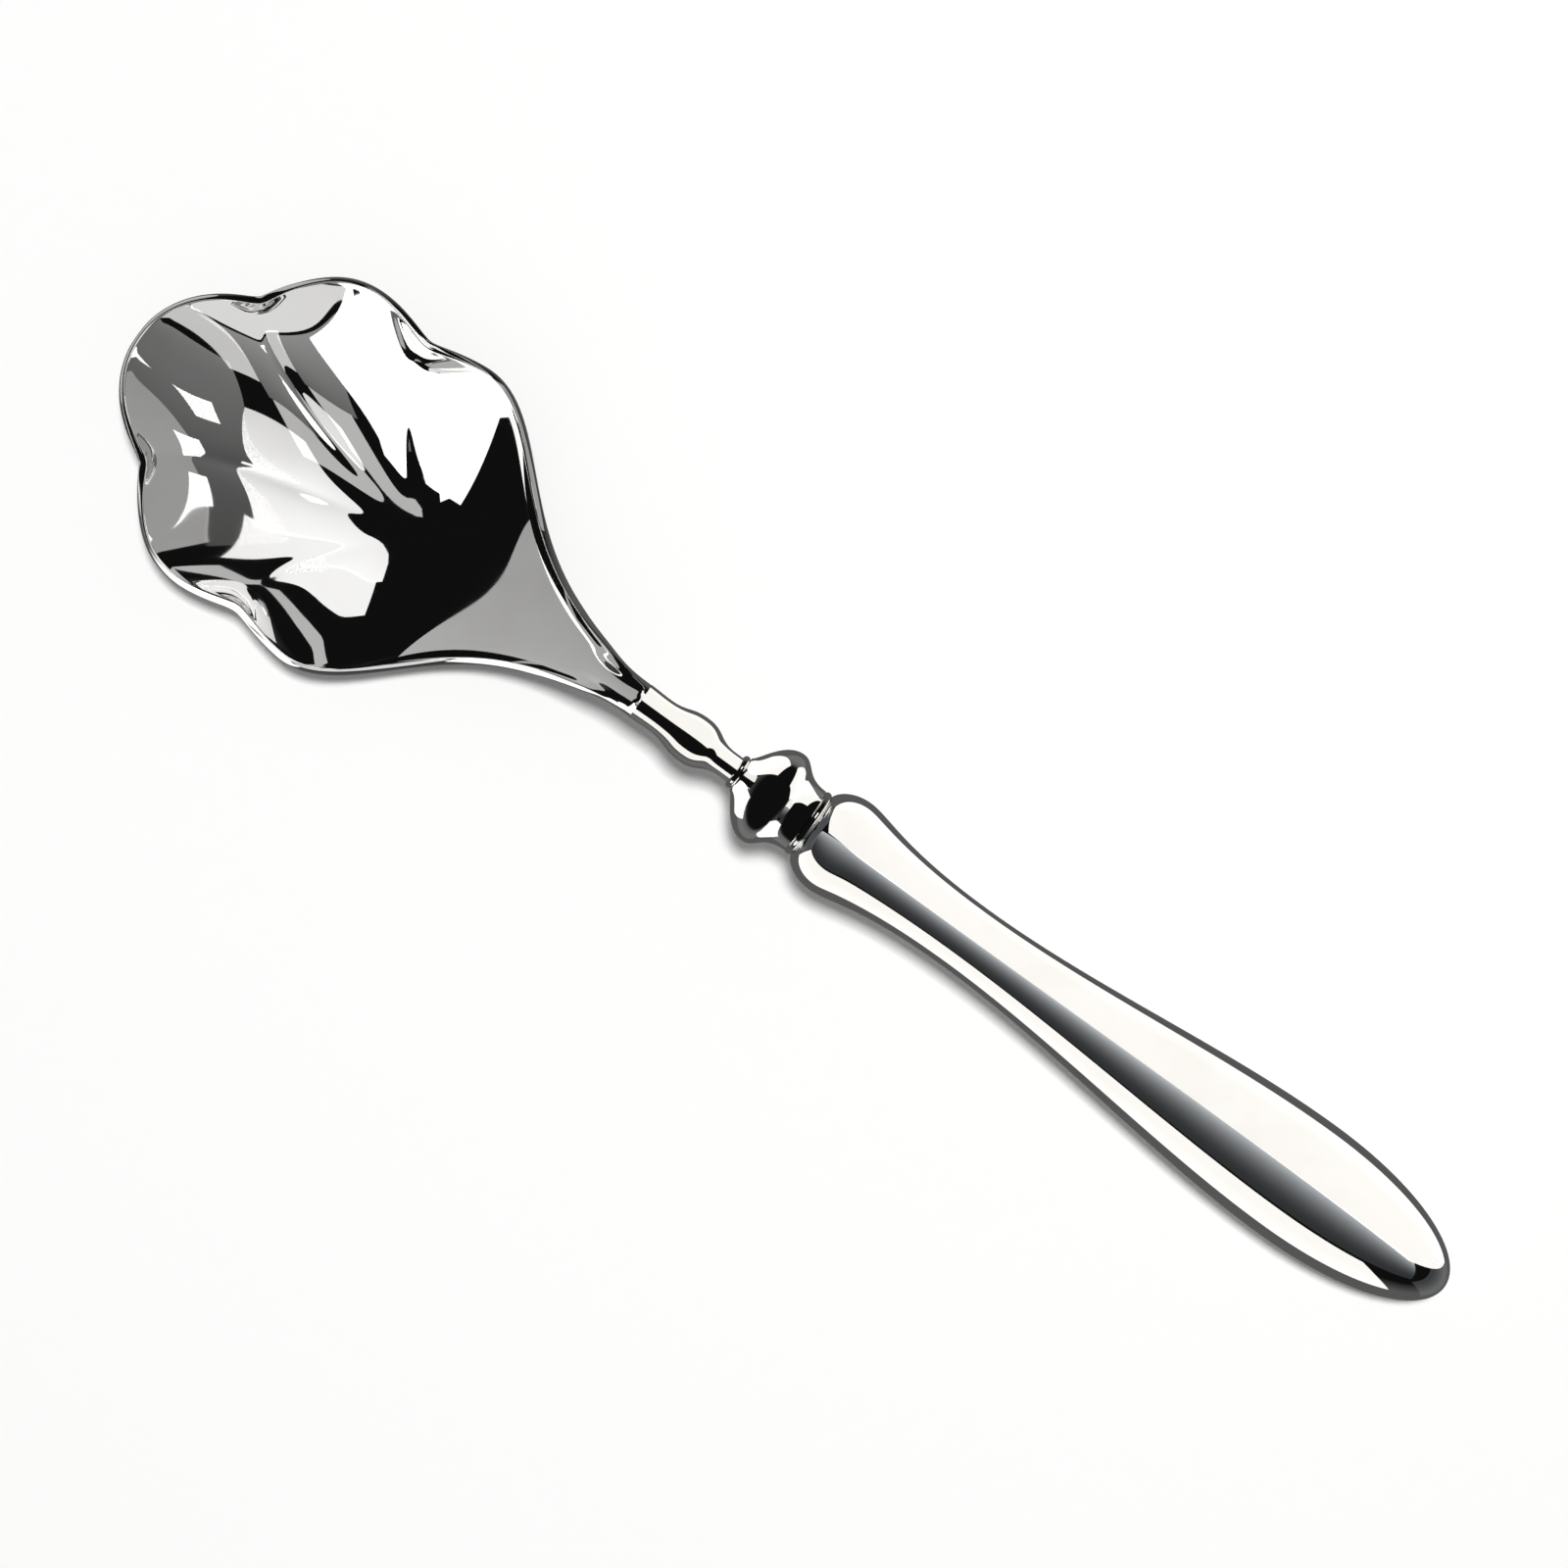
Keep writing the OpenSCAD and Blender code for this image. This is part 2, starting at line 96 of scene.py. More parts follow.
# Share of the way to the rim that the rounded edge of the sheet takes up, and how round that edge is
RIM_ROUND = 0.01
RIM_ROUND_POWER = 0.5

# Pulls of the turned outlines, each as a share of the stretch or the rise that it belongs to
SHOULDER_PULL = (0.48, 0.1, 0.53)
WAIST_PULL = (0.15, 0.68)
BELLY_PULL = (0.33, 0.33)
TAIL_PULL = (0.6, 0.55)
KNOP_FRONT_PULL = (0.13, 0.17, 0.55)
KNOP_REAR_PULL = (0.36, 0.64)
STEM_PULL = (0.33, 0.5)

MERGE_DISTANCE = 0.001 * MM
SHARP_ANGLE = math.radians(40)

# Patches of the film from handling: their scale, and the values of the noise between which they fade in
FILM_SCALE = 55.0
FILM_EDGE = (0.5, 0.75)
# Polishing lines of each metal: how they are drawn out along the axes, and their scale
BOWL_LINES = {"Stretch": (0.06, 1.0, 0.4), "Scale": 1800.0}
TURNED_LINES = {"Stretch": (1.0, 0.05, 0.05), "Scale": 2200.0}
ROD_LINES = {"Stretch": (0.08, 1.0, 1.0), "Scale": 3000.0}
# Scale of the filler's grain, and the values of a grain that span its roughness
FILLER_GRAIN = 900.0
GRAIN_RANGE = (0.3, 0.7)
ROD_ROUGHNESS = (0.28, 0.45)
FILLER_ROUGHNESS = (0.6, 0.85)
# Strength and depth of each bump
POLISH_BUMP = (0.04, 0.004 * MM)
ROD_BUMP = (0.2, 0.02 * MM)
FILLER_BUMP = (0.4, 0.1 * MM)


def length(name, description, millimetres):
    """A property for a size that a user would change."""
    return FloatProperty(name=name, description=description, default=millimetres * MM, min=0, unit="LENGTH")


def turn(name, description, degrees):
    """A property for an angle."""
    return FloatProperty(name=name, description=description, default=math.radians(degrees), subtype="ANGLE")


def share(name, description, default):
    """A property for a share of another size."""
    return FloatProperty(name=name, description=description, default=default, min=0, max=1, subtype="FACTOR")


def tint(name, description, default):
    """A property for a colour."""
    return FloatVectorProperty(name=name, description=description, default=default, min=0, max=1,
                               subtype="COLOR")


def steps(name, description, default):
    """A property for a number of steps."""
    return IntProperty(name=name, description=description, default=default, min=3)


class BowlSizes(PropertyGroup):
    """Sizes of the pressed bowl, its flutes and its throat."""

    bowl_front: length("Front", "From the widest station to the tip, before the notches", 41.2)
    bowl_width: length("Width", "Width over the rim, before the notches", 50)
    bowl_depth: length("Depth", "Depth of the hollow at its widest station", 11)
    keel_back: length("Keel", "Distance of the floor's lowest place behind the widest station", 4)
    nose_rise: length("Nose", "How far the floor has risen at the tip, below the tip's own wall", 4.8)
    sheet: length("Sheet", "Thickness of the pressed sheet", 1.3)
    rest_flat: length("Rest flat", "Depth of the flat that the bowl rests on", 0.15)
    hinge_back: length("Hinge", "Where the ridges meet, behind the widest station", 5.4)
    front_notch: turn("Front notch", "Angle of the front notch in the rim", 21)
    front_ridge: turn("Front ridge", "Angle of the front ridge on the floor", 13)
    side_notch: turn("Side notch", "Angle of the side notch in the rim", 58.7)
    side_ridge: turn("Side ridge", "Angle of the side ridge on the floor", 45)
    front_dip: share("Front dip", "Depth of the front notch", 0.09)
    side_dip: share("Side dip", "Depth of the side notch", 0.117)
    notch_fade: length("Notch fade", "Width over which a notch fades into its lobes", 4.7)
    notch_round: length("Notch round", "Round at the bottom of a notch", 1.8)
    lobe_gain: share("Lobe gain", "How far the lobe between two notches stands out", 0.112)
    lobe_angle: turn("Lobe angle", "Angle of that lobe's middle", 44.3)
    lobe_spread: turn("Lobe spread", "Half of the angle that the lobe takes up", 13.6)
    ridge_height: length("Ridge height", "Height of the ridges on the floor", 0.6)
    ridge_fade: length("Ridge fade", "Width over which a ridge fades into the floor", 1.2)
    throat_length: length("Throat", "From the widest station back to the stem", 44.7)
    throat_half: length("Throat half", "Where the throat has lost half its width", 17.9)
    neck_d: length("Neck", "Diameter of the round neck at the stem", 5.2)
    neck_height: length("Neck height", "Height of the neck joint above the table", 19.8)
    channel_depth: length("Channel depth", "Depth of the channel where the throat turns round", 1.2)
    channel_end_w: length("Channel end", "Width of the channel's rounded end", 3.7)
    channel_end_gap: length("Channel gap", "Solid neck between the channel's end and the stem", 0.5)
    spigot_d: length("Spigot", "Diameter of the spigot inside the stem", 2.4)
    spigot_length: length("Spigot length", "Length of the spigot inside the stem", 5)
    throat_steps: steps("Throat steps", "Steps of the surface along the throat", 80)
    front_steps: steps("Front steps", "Steps of the surface around the front, on each side", 110)
    cross_steps: steps("Cross steps", "Steps of the surface from the middle to the rim", 64)
    rim_steps: steps("Rim steps", "Steps of the rounded rim", 14)


class TurnedSizes(PropertyGroup):
    """Sizes of the turned stem, the rings and the knop."""

    stem_length: length("Stem length", "Length of the turned stem", 15.6)
    stem_hollow_d: length("Stem hollow", "Diameter of the hollow behind the neck", 5)
    stem_hollow_at: length("Hollow place", "Distance of the hollow from the neck", 3.2)
    stem_swell_d: length("Stem swelling", "Diameter of the stem's swelling", 6.9)
    stem_swell_at: length("Swelling place", "Distance of the swelling from the neck", 8.8)
    stem_waist_d: length("Stem waist", "Diameter of the stem's waist", 3.8)
    stem_waist_run: length("Waist run", "Length of the waist's run up to the ring", 1.2)
    neck_ring_d: length("Neck ring", "Diameter of the thin ring before the knop", 5)
    neck_ring_t: length("Neck ring thickness", "Thickness of that ring", 1)
    knop_d: length("Knop", "Diameter of the knop", 14.2)
    knop_length: length("Knop length", "Length of the knop", 10.5)
    knop_wide_at: length("Knop's widest place", "Its distance from the knop's front", 5.3)
    knop_front_d: length("Knop front", "Diameter of the knop's front end", 5.2)
    knop_rear_d: length("Knop rear", "Diameter of the knop's rear end", 9.6)
    collar_d: length("Collar", "Diameter of the ring between knop and handle", 9.9)
    collar_t: length("Collar thickness", "Thickness of that ring", 1.2)
    bore_d: length("Bore", "Diameter of the bore for the tang rod", 2.5)
    outline_steps: steps("Outline steps", "Steps of one stretch of an outline", 28)
    turn_steps: steps("Turn steps", "Steps of a full turn", 160)


class HandleSizes(PropertyGroup):
    """Sizes of the hollow handle."""

    handle_length: length("Handle length", "Length of the handle", 106)
    mouth_d: length("Mouth", "Diameter of the handle's mouth", 9.6)
    handle_swell_d: length("Swelling", "Diameter of the swelling behind the mouth", 14.2)
    handle_swell_at: length("Swelling place", "Its distance from the mouth", 4.7)
    handle_waist_d: length("Waist", "Diameter of the waist", 9.7)
    handle_waist_at: length("Waist place", "Its distance from the mouth", 25.6)
    handle_belly_d: length("Belly", "Diameter of the belly near the tail", 17.9)
    handle_belly_back: length("Belly place", "Its distance from the tail end", 24.8)
    handle_wall: length("Wall", "Wall of the two shells", 0.8)


class FinishLooks(PropertyGroup):
    """Colours and roughness of the finishes."""

    metal: tint("Metal", "Colour of the clean polished metal", (0.9, 0.895, 0.885))
    metal_film: tint("Metal film", "Colour under a faint film from handling", (0.84, 0.83, 0.815))
    rod_light: tint("Rod light", "Lighter colour of the drawn rod", (0.62, 0.62, 0.63))
    rod_dark: tint("Rod dark", "Darker colour of the drawn rod", (0.42, 0.42, 0.44))
    filler_light: tint("Filler light", "Lighter colour of the set filler", (0.52, 0.44, 0.33))
    filler_dark: tint("Filler dark", "Darker colour of the set filler", (0.34, 0.28, 0.2))
    floor: tint("Floor", "Colour of the floor", (0.93, 0.93, 0.925))
    polish: share("Polish", "Roughness of the cleanest metal", 0.015)
    film_roughness: share("Film roughness", "Roughness under the film", 0.06)


class StageSizes(PropertyGroup):
    """Place of the camera and strength of the lights."""

    camera_distance: FloatProperty(name="Camera distance", description="From the camera to the spoon",
                                   default=0.6, unit="LENGTH")
    camera_lens: FloatProperty(name="Lens", description="Focal length in millimetres", default=102.3)
    camera_roll: turn("Roll", "Turn of the camera about its view", 36.1)
    aim_x: FloatProperty(name="Aim along", description="Place on the spoon's length at the picture's centre",
                         default=-2.52 * MM, unit="LENGTH")
    aim_y: FloatProperty(name="Aim across", description="Place across the spoon at the picture's centre",
                         default=2.33 * MM, unit="LENGTH")
    aim_height: length("Aim height", "Height of the picture's centre", 12)
    lean_x: FloatProperty(name="Lean along", description="Lean of the view towards the tail", default=0.0288)
    lean_y: FloatProperty(name="Lean across", description="Lean of the view across it", default=-0.0025)
    floor_light: FloatProperty(name="Floor light", description="Brightness of the lamp over the floor",
                               default=205)


def values(group):
    """A plain copy of a property group's values."""
    return SimpleNamespace(**{key: getattr(group, key) for key in group.__annotations__})


def mix(a, b, part):
    return a + (b - a) * part


def clamp(value):
    return min(1.0, max(0.0, value))


def ease(value):
    c = clamp(value)
    return c * c * (3 - 2 * c)


def soft_ramp(part):
    """A ramp that starts level and soon runs straight."""
    return math.hypot(part, RAMP_ROUND) - RAMP_ROUND


def crease(distance, rounding, fade):
    """1 on a crease, fading away over a stretch on both sides of it."""
    return math.exp(-(math.hypot(distance, rounding) - rounding) / fade)


class ShellSurface:
    """The bowl's pressed sheet with its neck.

    way runs from the neck joint (0) over the widest station (1) to the tip (2), and reach from the
    middle line (0) to the rim (1), on the +Y side. X counts from the widest station.
    """

    def __init__(self, sizes, tilt):
        self.s = sizes
        self.rim_lip = RIM_LEAN * sizes.sheet
        self.neck_r = sizes.neck_d / 2
        self.neck_top = sizes.neck_height + self.neck_r
        self.floor_z = sizes.sheet - sizes.rest_flat
        self.neck_turn = NECK_TURN * sizes.neck_d
        self.ramp_end = sizes.throat_length - sizes.channel_end_gap - sizes.channel_end_w / 2
        self.along = Vector((math.cos(tilt), 0, -math.sin(tilt)))
        self.up = Vector((math.sin(tilt), 0, math.cos(tilt)))
        self.notches = (
            (sizes.front_ridge, sizes.front_notch, sizes.front_dip),
            (sizes.side_ridge, sizes.side_notch, sizes.side_dip),
        )

    def throat_half_width(self, x):
        kept = 1 - (x / self.s.throat_length) ** FLARE_END_POWER
        flare = 1 + (x / self.s.throat_half) ** FLARE_POWER
        return self.neck_r - self.rim_lip + (self.s.bowl_width / 2 - self.neck_r) * kept / flare

    def keel(self, x):
        """Height of the middle line: a ramp up the throat behind its lowest place, the nose before it."""
        s = self.s
        if x > s.keel_back:
            climb = self.neck_top - s.channel_depth - self.floor_z
            part = (x - s.keel_back) / (self.ramp_end - s.keel_back)
            return self.floor_z + climb * soft_ramp(part) / soft_ramp(1)
        return self.floor_z + s.nose_rise * ((s.keel_back - x) / (s.keel_back + s.bowl_front)) ** NOSE_POWER

    def throat_hollow(self, x, reach):
        part = x / self.s.throat_length
        full_wall = self.floor_z + self.s.bowl_depth - self.keel(0)
        half_width = self.throat_half_width(x)
        narrowed = (half_width / self.throat_half_width(0)) ** WALL_FADE_POWER
        wall = mix(self.s.channel_depth, full_wall, narrowed)
        rise = reach ** mix(WALL_POWER, THROAT_POWER, ease(part / THROAT_POWER_SHARE))
        return x, reach * half_width, self.keel(x) + wall * rise, rise

    def front_hollow(self, angle, reach):
        ahead = max(0.0, reach * math.cos(angle))
        room = math.sqrt(max(0.0, 1 - ahead * ahead))
        aside = min(1.0, reach * math.sin(angle) / room) if room > 0 else 1.0
        lift = ahead**TIP_POWER
        rise = lift + (1 - lift) * aside ** mix(WALL_POWER, ROUND_POWER, ahead * ahead)
        x = -(self.s.bowl_front - self.rim_lip) * ahead
        y = (self.s.bowl_width / 2 - self.rim_lip) * reach * math.sin(angle)
        return x, y, mix(self.keel(x), self.floor_z + self.s.bowl_depth, rise), rise

    def fluted(self, x, y, z, rise):
        """The hollow with its notches, lobes and ridges."""
        s = self.s
        ahead = s.hinge_back - x
        radius = math.hypot(ahead, y)
        angle = math.atan2(y, ahead)
        dip = 0.0
        gain = 0.0
        ridge = 0.0
        for side in (-1, 1):
            for on_floor, at_rim, depth in self.notches:
                apart = (angle - side * mix(on_floor, at_rim, rise)) * radius
                dip += depth * crease(apart, s.notch_round, s.notch_fade)
                ridge += crease(apart, RIDGE_ROUND, s.ridge_fade)
            gain += s.lobe_gain * math.exp(-(((angle - side * s.lobe_angle) / s.lobe_spread) ** 2))
        scale = 1 + rise * gain - rise**NOTCH_POWER * dip
        growth = ease((radius - RIDGE_START) / (RIDGE_FULL - RIDGE_START)) * (1 - rise)
        return Vector((s.hinge_back - ahead * scale, y * scale, z + s.ridge_height * growth * ridge))

    def throat_x(self, way):
        return self.s.throat_length * (1 - way**NECK_STEP_POWER)

    def point(self, way, reach):
        if way < 1:
            return self.fluted(*self.throat_hollow(self.throat_x(way), reach))
        return self.fluted(*self.front_hollow(math.pi / 2 * (2 - way), reach))

    def normal(self, way, reach):
        """Direction square to the inner face, pointing up out of the hollow."""
        inner = max(reach, SLOPE_ASIDE)
        back = max(way - SLOPE_STEP, 0)
        ahead = min(way + SLOPE_STEP, 2)
        along = self.point(ahead, inner) - self.point(back, inner)
        across = self.point(way, min(inner + SLOPE_STEP, 1)) - self.point(way, inner - SLOPE_STEP)
        return across.cross(along).normalized()

    def neck_point(self, station, angle):
        """A point of the round neck, with the channel's rounded end cut in."""
        aside = self.neck_r * math.sin(angle)
        cut = 0.0
        if angle < math.pi / 2:
            end_r = self.s.channel_end_w / 2
            past = max(0.0, station + self.s.channel_end_gap + end_r)
            top = self.neck_top + station * self.along.z
            deep = max(self.s.channel_depth, top - self.keel(self.s.throat_length + station))
            cut = deep * max(0.0, 1 - (aside * aside + past * past) / end_r**2)
        height = self.neck_r * math.cos(angle) - cut
        joint = Vector((self.s.throat_length, 0, self.s.neck_height))
        return joint + self.along * station + Vector((0, aside, 0)) + self.up * height

    def sheet_point(self, way, reach, depth):
        """A point of the sheet, depth running from its inner face (0) to its outer face (1)."""
        if reach == 0:
            way = min(way, 1)
        station = self.throat_x(way) - self.s.throat_length if way < 1 else -self.s.throat_length
        turned = ease((station + self.neck_turn) / (NECK_TURN_SHARE * self.neck_turn))
        inner = self.point(way, reach)
        outer = inner - self.normal(way, reach) * self.s.sheet if depth > 0 else inner
        if turned > 0:
            inner = mix(inner, self.neck_point(station, NECK_SIDE_ANGLE * reach), turned)
            outer = mix(outer, self.neck_point(station, math.pi - NECK_SIDE_ANGLE * reach), turned)
        found = mix(inner, outer, depth)
        if reach == 0:
            found.y = 0
        return found


def curve(a, b, c, d, count):
    """Points of a cubic curve after its first one."""
    found = []
    for i in range(1, count + 1):
        t = i / count
        u = 1 - t
        found.append(a * u**3 + b * (3 * u * u * t) + c * (3 * u * t * t) + d * t**3)
    return found


def swell(a, b, pulls, count):
    """A turned outline between two (radius, station) points with level tangents."""
    return curve(a, a + Vector((0, pulls[0])), b - Vector((0, pulls[1])), b, count)


def inset(points, wall):
    """The same outline moved towards the axis by a wall."""
    last = len(points) - 1
    found = [points[0] - Vector((wall, 0))]
    for i in range(1, last):
        along = (points[i + 1] - points[i - 1]).normalized()
        found.append(points[i] + Vector((-along.y, along.x)) * wall)
    found.append(points[last] - Vector((0, wall)))
    return found


def handle_outline(sizes, count):
    """Outline of the handle from its mouth to its tail, as (radius, station) points."""
    belly_at = sizes.handle_length - sizes.handle_belly_back
    mouth = Vector((sizes.mouth_d / 2, 0))
    swelling = Vector((sizes.handle_swell_d / 2, sizes.handle_swell_at))
    waist = Vector((sizes.handle_waist_d / 2, sizes.handle_waist_at))
    belly = Vector((sizes.handle_belly_d / 2, belly_at))
    tail = Vector((0, sizes.handle_length))
    rise = swelling.x - mouth.x
    to_waist = waist.y - swelling.y
    to_belly = belly.y - waist.y
    shoulder = mouth + Vector((SHOULDER_PULL[0] * rise, SHOULDER_PULL[1] * swelling.y))
    return (
        [mouth]
        + curve(mouth, shoulder, swelling - Vector((0, SHOULDER_PULL[2] * swelling.y)), swelling, count)
        + swell(swelling, waist, [pull * to_waist for pull in WAIST_PULL], count)
        + swell(waist, belly, [pull * to_belly for pull in BELLY_PULL], count)
        + curve(belly, belly + Vector((0, TAIL_PULL[0] * sizes.handle_belly_back)),
                tail + Vector((TAIL_PULL[1] * belly.x, 0)), tail, count)
    )


class Axis:
    """The spoon's axis through stem, knop and handle, placed from the frame."""

    def __init__(self, scene):
        bowl = values(scene.spoon_bowl)
        turned = values(scene.spoon_turned)
        self.ring_at = turned.stem_length
        self.knop_at = self.ring_at + turned.neck_ring_t
        self.collar_at = self.knop_at + turned.knop_length
        self.handle_at = self.collar_at + turned.collar_t
        self.tilt = min(
            math.asin(bowl.neck_height / math.hypot(self.handle_at + p.y, p.x))
            - math.atan2(p.x, self.handle_at + p.y)
            for p in handle_outline(values(scene.spoon_handle), turned.outline_steps)
        )
        self.neck_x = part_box("stem")[0].x + bowl.neck_d / 2 * math.sin(self.tilt)
        self.neck_z = bowl.neck_height

    def matrix(self, station):
        """Places a shape whose Z is the axis and whose Y is the spoon's top."""
        along = Vector((math.cos(self.tilt), 0, -math.sin(self.tilt)))
        top = Vector((math.sin(self.tilt), 0, math.cos(self.tilt)))
        side = Vector((0, 1, 0))
        place = Vector((self.neck_x, 0, self.neck_z)) + along * station
        turned = Matrix((side, top, along)).transposed().to_4x4()
        return Matrix.Translation(place) @ turned


def finish_piece(bm, name, node, material):
    """Makes the object that stands for a node, rides on the body and takes its finish."""
    bmesh.ops.remove_doubles(bm, verts=bm.verts, dist=MERGE_DISTANCE)
    bmesh.ops.dissolve_degenerate(bm, dist=MERGE_DISTANCE, edges=bm.edges)
    bmesh.ops.recalc_face_normals(bm, faces=bm.faces)
    for face in bm.faces:
        face.smooth = True
    mesh = bpy.data.meshes.new(name)
    bm.to_mesh(mesh)
    bm.free()
    mesh.set_sharp_from_angle(angle=SHARP_ANGLE)
    piece = bpy.data.objects.new(name, mesh)
    bpy.context.scene.collection.objects.link(piece)
    mesh.materials.append(material)
    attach(piece, BODY)
    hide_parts(node)
    return piece


def draw_profile(bm, points):
    """A closed wire of (radius, station) points in the plane that a spin starts from."""
    verts = [bm.verts.new((p.x, 0, p.y)) for p in points]
    for i, vert in enumerate(verts):
        bm.edges.new((vert, verts[i - 1]))
    return verts


def turned_piece(name, outline, place, finish, scene):
    """A piece turned about the spoon's axis, with the tang rod's bore through it."""
    sizes = values(scene.spoon_turned)
    bore_r = sizes.bore_d / 2
    bm = bmesh.new()
    draw_profile(bm, outline + [Vector((bore_r, outline[-1].y)), Vector((bore_r, outline[0].y))])
    bmesh.ops.spin(bm, geom=bm.verts[:] + bm.edges[:], cent=(0, 0, 0), axis=(0, 0, 1),
                   angle=2 * math.pi, steps=sizes.turn_steps, use_merge=True)
    bmesh.ops.transform(bm, matrix=place, verts=bm.verts)
    return finish_piece(bm, name + "_polished", name, finish)


def bead_outline(diameter, thickness, count):
    """Outline of a ring with a half round edge."""
    edge_r = thickness / 2
    found = []
    for i in range(count + 1):
        a = math.pi * i / count
        found.append(Vector((diameter / 2 - edge_r + edge_r * math.sin(a), edge_r - edge_r * math.cos(a))))
    return found


def new_group(name, inputs, outputs):
    """An empty shader node group with its sockets, each as (name, type)."""
    group = bpy.data.node_groups.new(name, "ShaderNodeTree")
    for label, kind in inputs:
        group.interface.new_socket(name=label, in_out="INPUT", socket_type=kind)
    for label, kind in outputs:
        group.interface.new_socket(name=label, in_out="OUTPUT", socket_type=kind)
    return group, group.nodes.new("NodeGroupInput"), group.nodes.new("NodeGroupOutput")


def noise(tree, vector, scale, detail, roughness=0.5):
    """A noise texture that reads the given coordinates."""
    node = tree.nodes.new("ShaderNodeTexNoise")
    node.inputs["Detail"].default_value = detail
    node.inputs["Roughness"].default_value = roughness
    tree.links.new(vector, node.inputs["Vector"])
    if isinstance(scale, (int, float)):
        node.inputs["Scale"].default_value = scale
    else:
        tree.links.new(scale, node.inputs["Scale"])
    return node.outputs[0]


def remap(tree, value, low, high, to_low, to_high):
    """Maps a stretch of values onto another one."""
    node = tree.nodes.new("ShaderNodeMapRange")
    node.clamp = True
    tree.links.new(value, node.inputs["Value"])
    for label, number in (("From Min", low), ("From Max", high), ("To Min", to_low), ("To Max", to_high)):
        node.inputs[label].default_value = number
    return node.outputs[0]


def film_group():
    """A faint film from handling: a mask of soft patches."""
    group, start, end = new_group(
        "Handling film",
        [("Vector", "NodeSocketVector"), ("Scale", "NodeSocketFloat")],
        [("Mask", "NodeSocketFloat")])
    patches = noise(group, start.outputs["Vector"], start.outputs["Scale"], detail=3.0, roughness=0.6)
    group.links.new(remap(group, patches, *FILM_EDGE, 0.0, 1.0), end.inputs["Mask"])
    return group


def hairline_group():
    """Fine polishing lines: noise drawn out along the given stretch."""
    group, start, end = new_group(
        "Polish lines",
        [("Vector", "NodeSocketVector"), ("Stretch", "NodeSocketVector"), ("Scale", "NodeSocketFloat")],
        [("Height", "NodeSocketFloat")])
    drawn = group.nodes.new("ShaderNodeVectorMath")
    drawn.operation = "MULTIPLY"
    group.links.new(start.outputs["Vector"], drawn.inputs[0])
    group.links.new(start.outputs["Stretch"], drawn.inputs[1])
    lines = noise(group, drawn.outputs[0], start.outputs["Scale"], detail=2.0, roughness=0.6)
    group.links.new(lines, end.inputs["Height"])
    return group


def place_group(tree, group, vector, **settings):
    """Puts a node group into a material with its own values."""
    node = tree.nodes.new("ShaderNodeGroup")
    node.node_tree = group
    tree.links.new(vector, node.inputs["Vector"])
    for label, value in settings.items():
        node.inputs[label].default_value = value
    return node


def new_material(name):
    """A material with its shader and its object coordinates."""
    material = bpy.data.materials.new(name)
    material.use_nodes = True
    tree = material.node_tree
    shader = tree.nodes["Principled BSDF"]
    coords = tree.nodes.new("ShaderNodeTexCoord").outputs["Object"]
    return material, tree, shader, coords


def two_tone(tree, mask, low, high):
    """A colour between two tints."""
    node = tree.nodes.new("ShaderNodeMix")
    node.data_type = "RGBA"
    tree.links.new(mask, node.inputs["Factor"])
    node.inputs["A"].default_value = (*low, 1)
    node.inputs["B"].default_value = (*high, 1)
    for socket in node.outputs:
        if socket.type == "RGBA":
            return socket
    raise RuntimeError("the mix node has no colour output")


def bump(tree, height, strength, distance):
    """A bump that shapes the shading normal."""
    node = tree.nodes.new("ShaderNodeBump")
    node.inputs["Strength"].default_value = strength
    node.inputs["Distance"].default_value = distance
    tree.links.new(height, node.inputs["Height"])
    return node.outputs["Normal"]


class Finishes:
    """The materials of the spoon, each made once."""

    def __init__(self, looks):
        self.looks = looks
        self.film = film_group()
        self.hairlines = hairline_group()
        self.bowl_metal = self.polished("Polished bowl metal", BOWL_LINES)
        self.turned_metal = self.polished("Polished turned metal", TURNED_LINES)
        self.rod_steel = self.drawn_rod()
        self.set_filler = self.filler()

    def polished(self, name, line_looks):
        """Mirror polish with a faint film and fine lines."""
        looks = self.looks
        material, tree, shader, coords = new_material(name)
        film = place_group(tree, self.film, coords, Scale=FILM_SCALE).outputs["Mask"]
        lines = place_group(tree, self.hairlines, coords, **line_looks).outputs["Height"]
        roughness = remap(tree, film, 0.0, 1.0, looks.polish, looks.film_roughness)
        shader.inputs["Metallic"].default_value = 1.0
        tree.links.new(two_tone(tree, film, looks.metal, looks.metal_film), shader.inputs["Base Color"])
        tree.links.new(roughness, shader.inputs["Roughness"])
        tree.links.new(bump(tree, lines, *POLISH_BUMP), shader.inputs["Normal"])
        return material

    def drawn_rod(self):
        """Drawn steel with lines along the rod."""
        looks = self.looks
        material, tree, shader, coords = new_material("Drawn rod steel")
        lines = place_group(tree, self.hairlines, coords, **ROD_LINES).outputs["Height"]
        shader.inputs["Metallic"].default_value = 1.0
        tree.links.new(two_tone(tree, lines, looks.rod_dark, looks.rod_light), shader.inputs["Base Color"])
        tree.links.new(remap(tree, lines, *GRAIN_RANGE, *ROD_ROUGHNESS), shader.inputs["Roughness"])
        tree.links.new(bump(tree, lines, *ROD_BUMP), shader.inputs["Normal"])
        return material

    def filler(self):
        """Dull grainy filler."""
        looks = self.looks
        material, tree, shader, coords = new_material("Set filler")
        grain = noise(tree, coords, FILLER_GRAIN, detail=4.0, roughness=0.6)
        colour = two_tone(tree, grain, looks.filler_dark, looks.filler_light)
        tree.links.new(colour, shader.inputs["Base Color"])
        tree.links.new(remap(tree, grain, *GRAIN_RANGE, *FILLER_ROUGHNESS), shader.inputs["Roughness"])
        tree.links.new(bump(tree, grain, *FILLER_BUMP), shader.inputs["Normal"])
        return material


def finishes():
    """The finishes, made by the first operator that asks for them."""
    if not hasattr(finishes, "made"):
        finishes.made = Finishes(values(bpy.context.scene.spoon_finish))
    return finishes.made


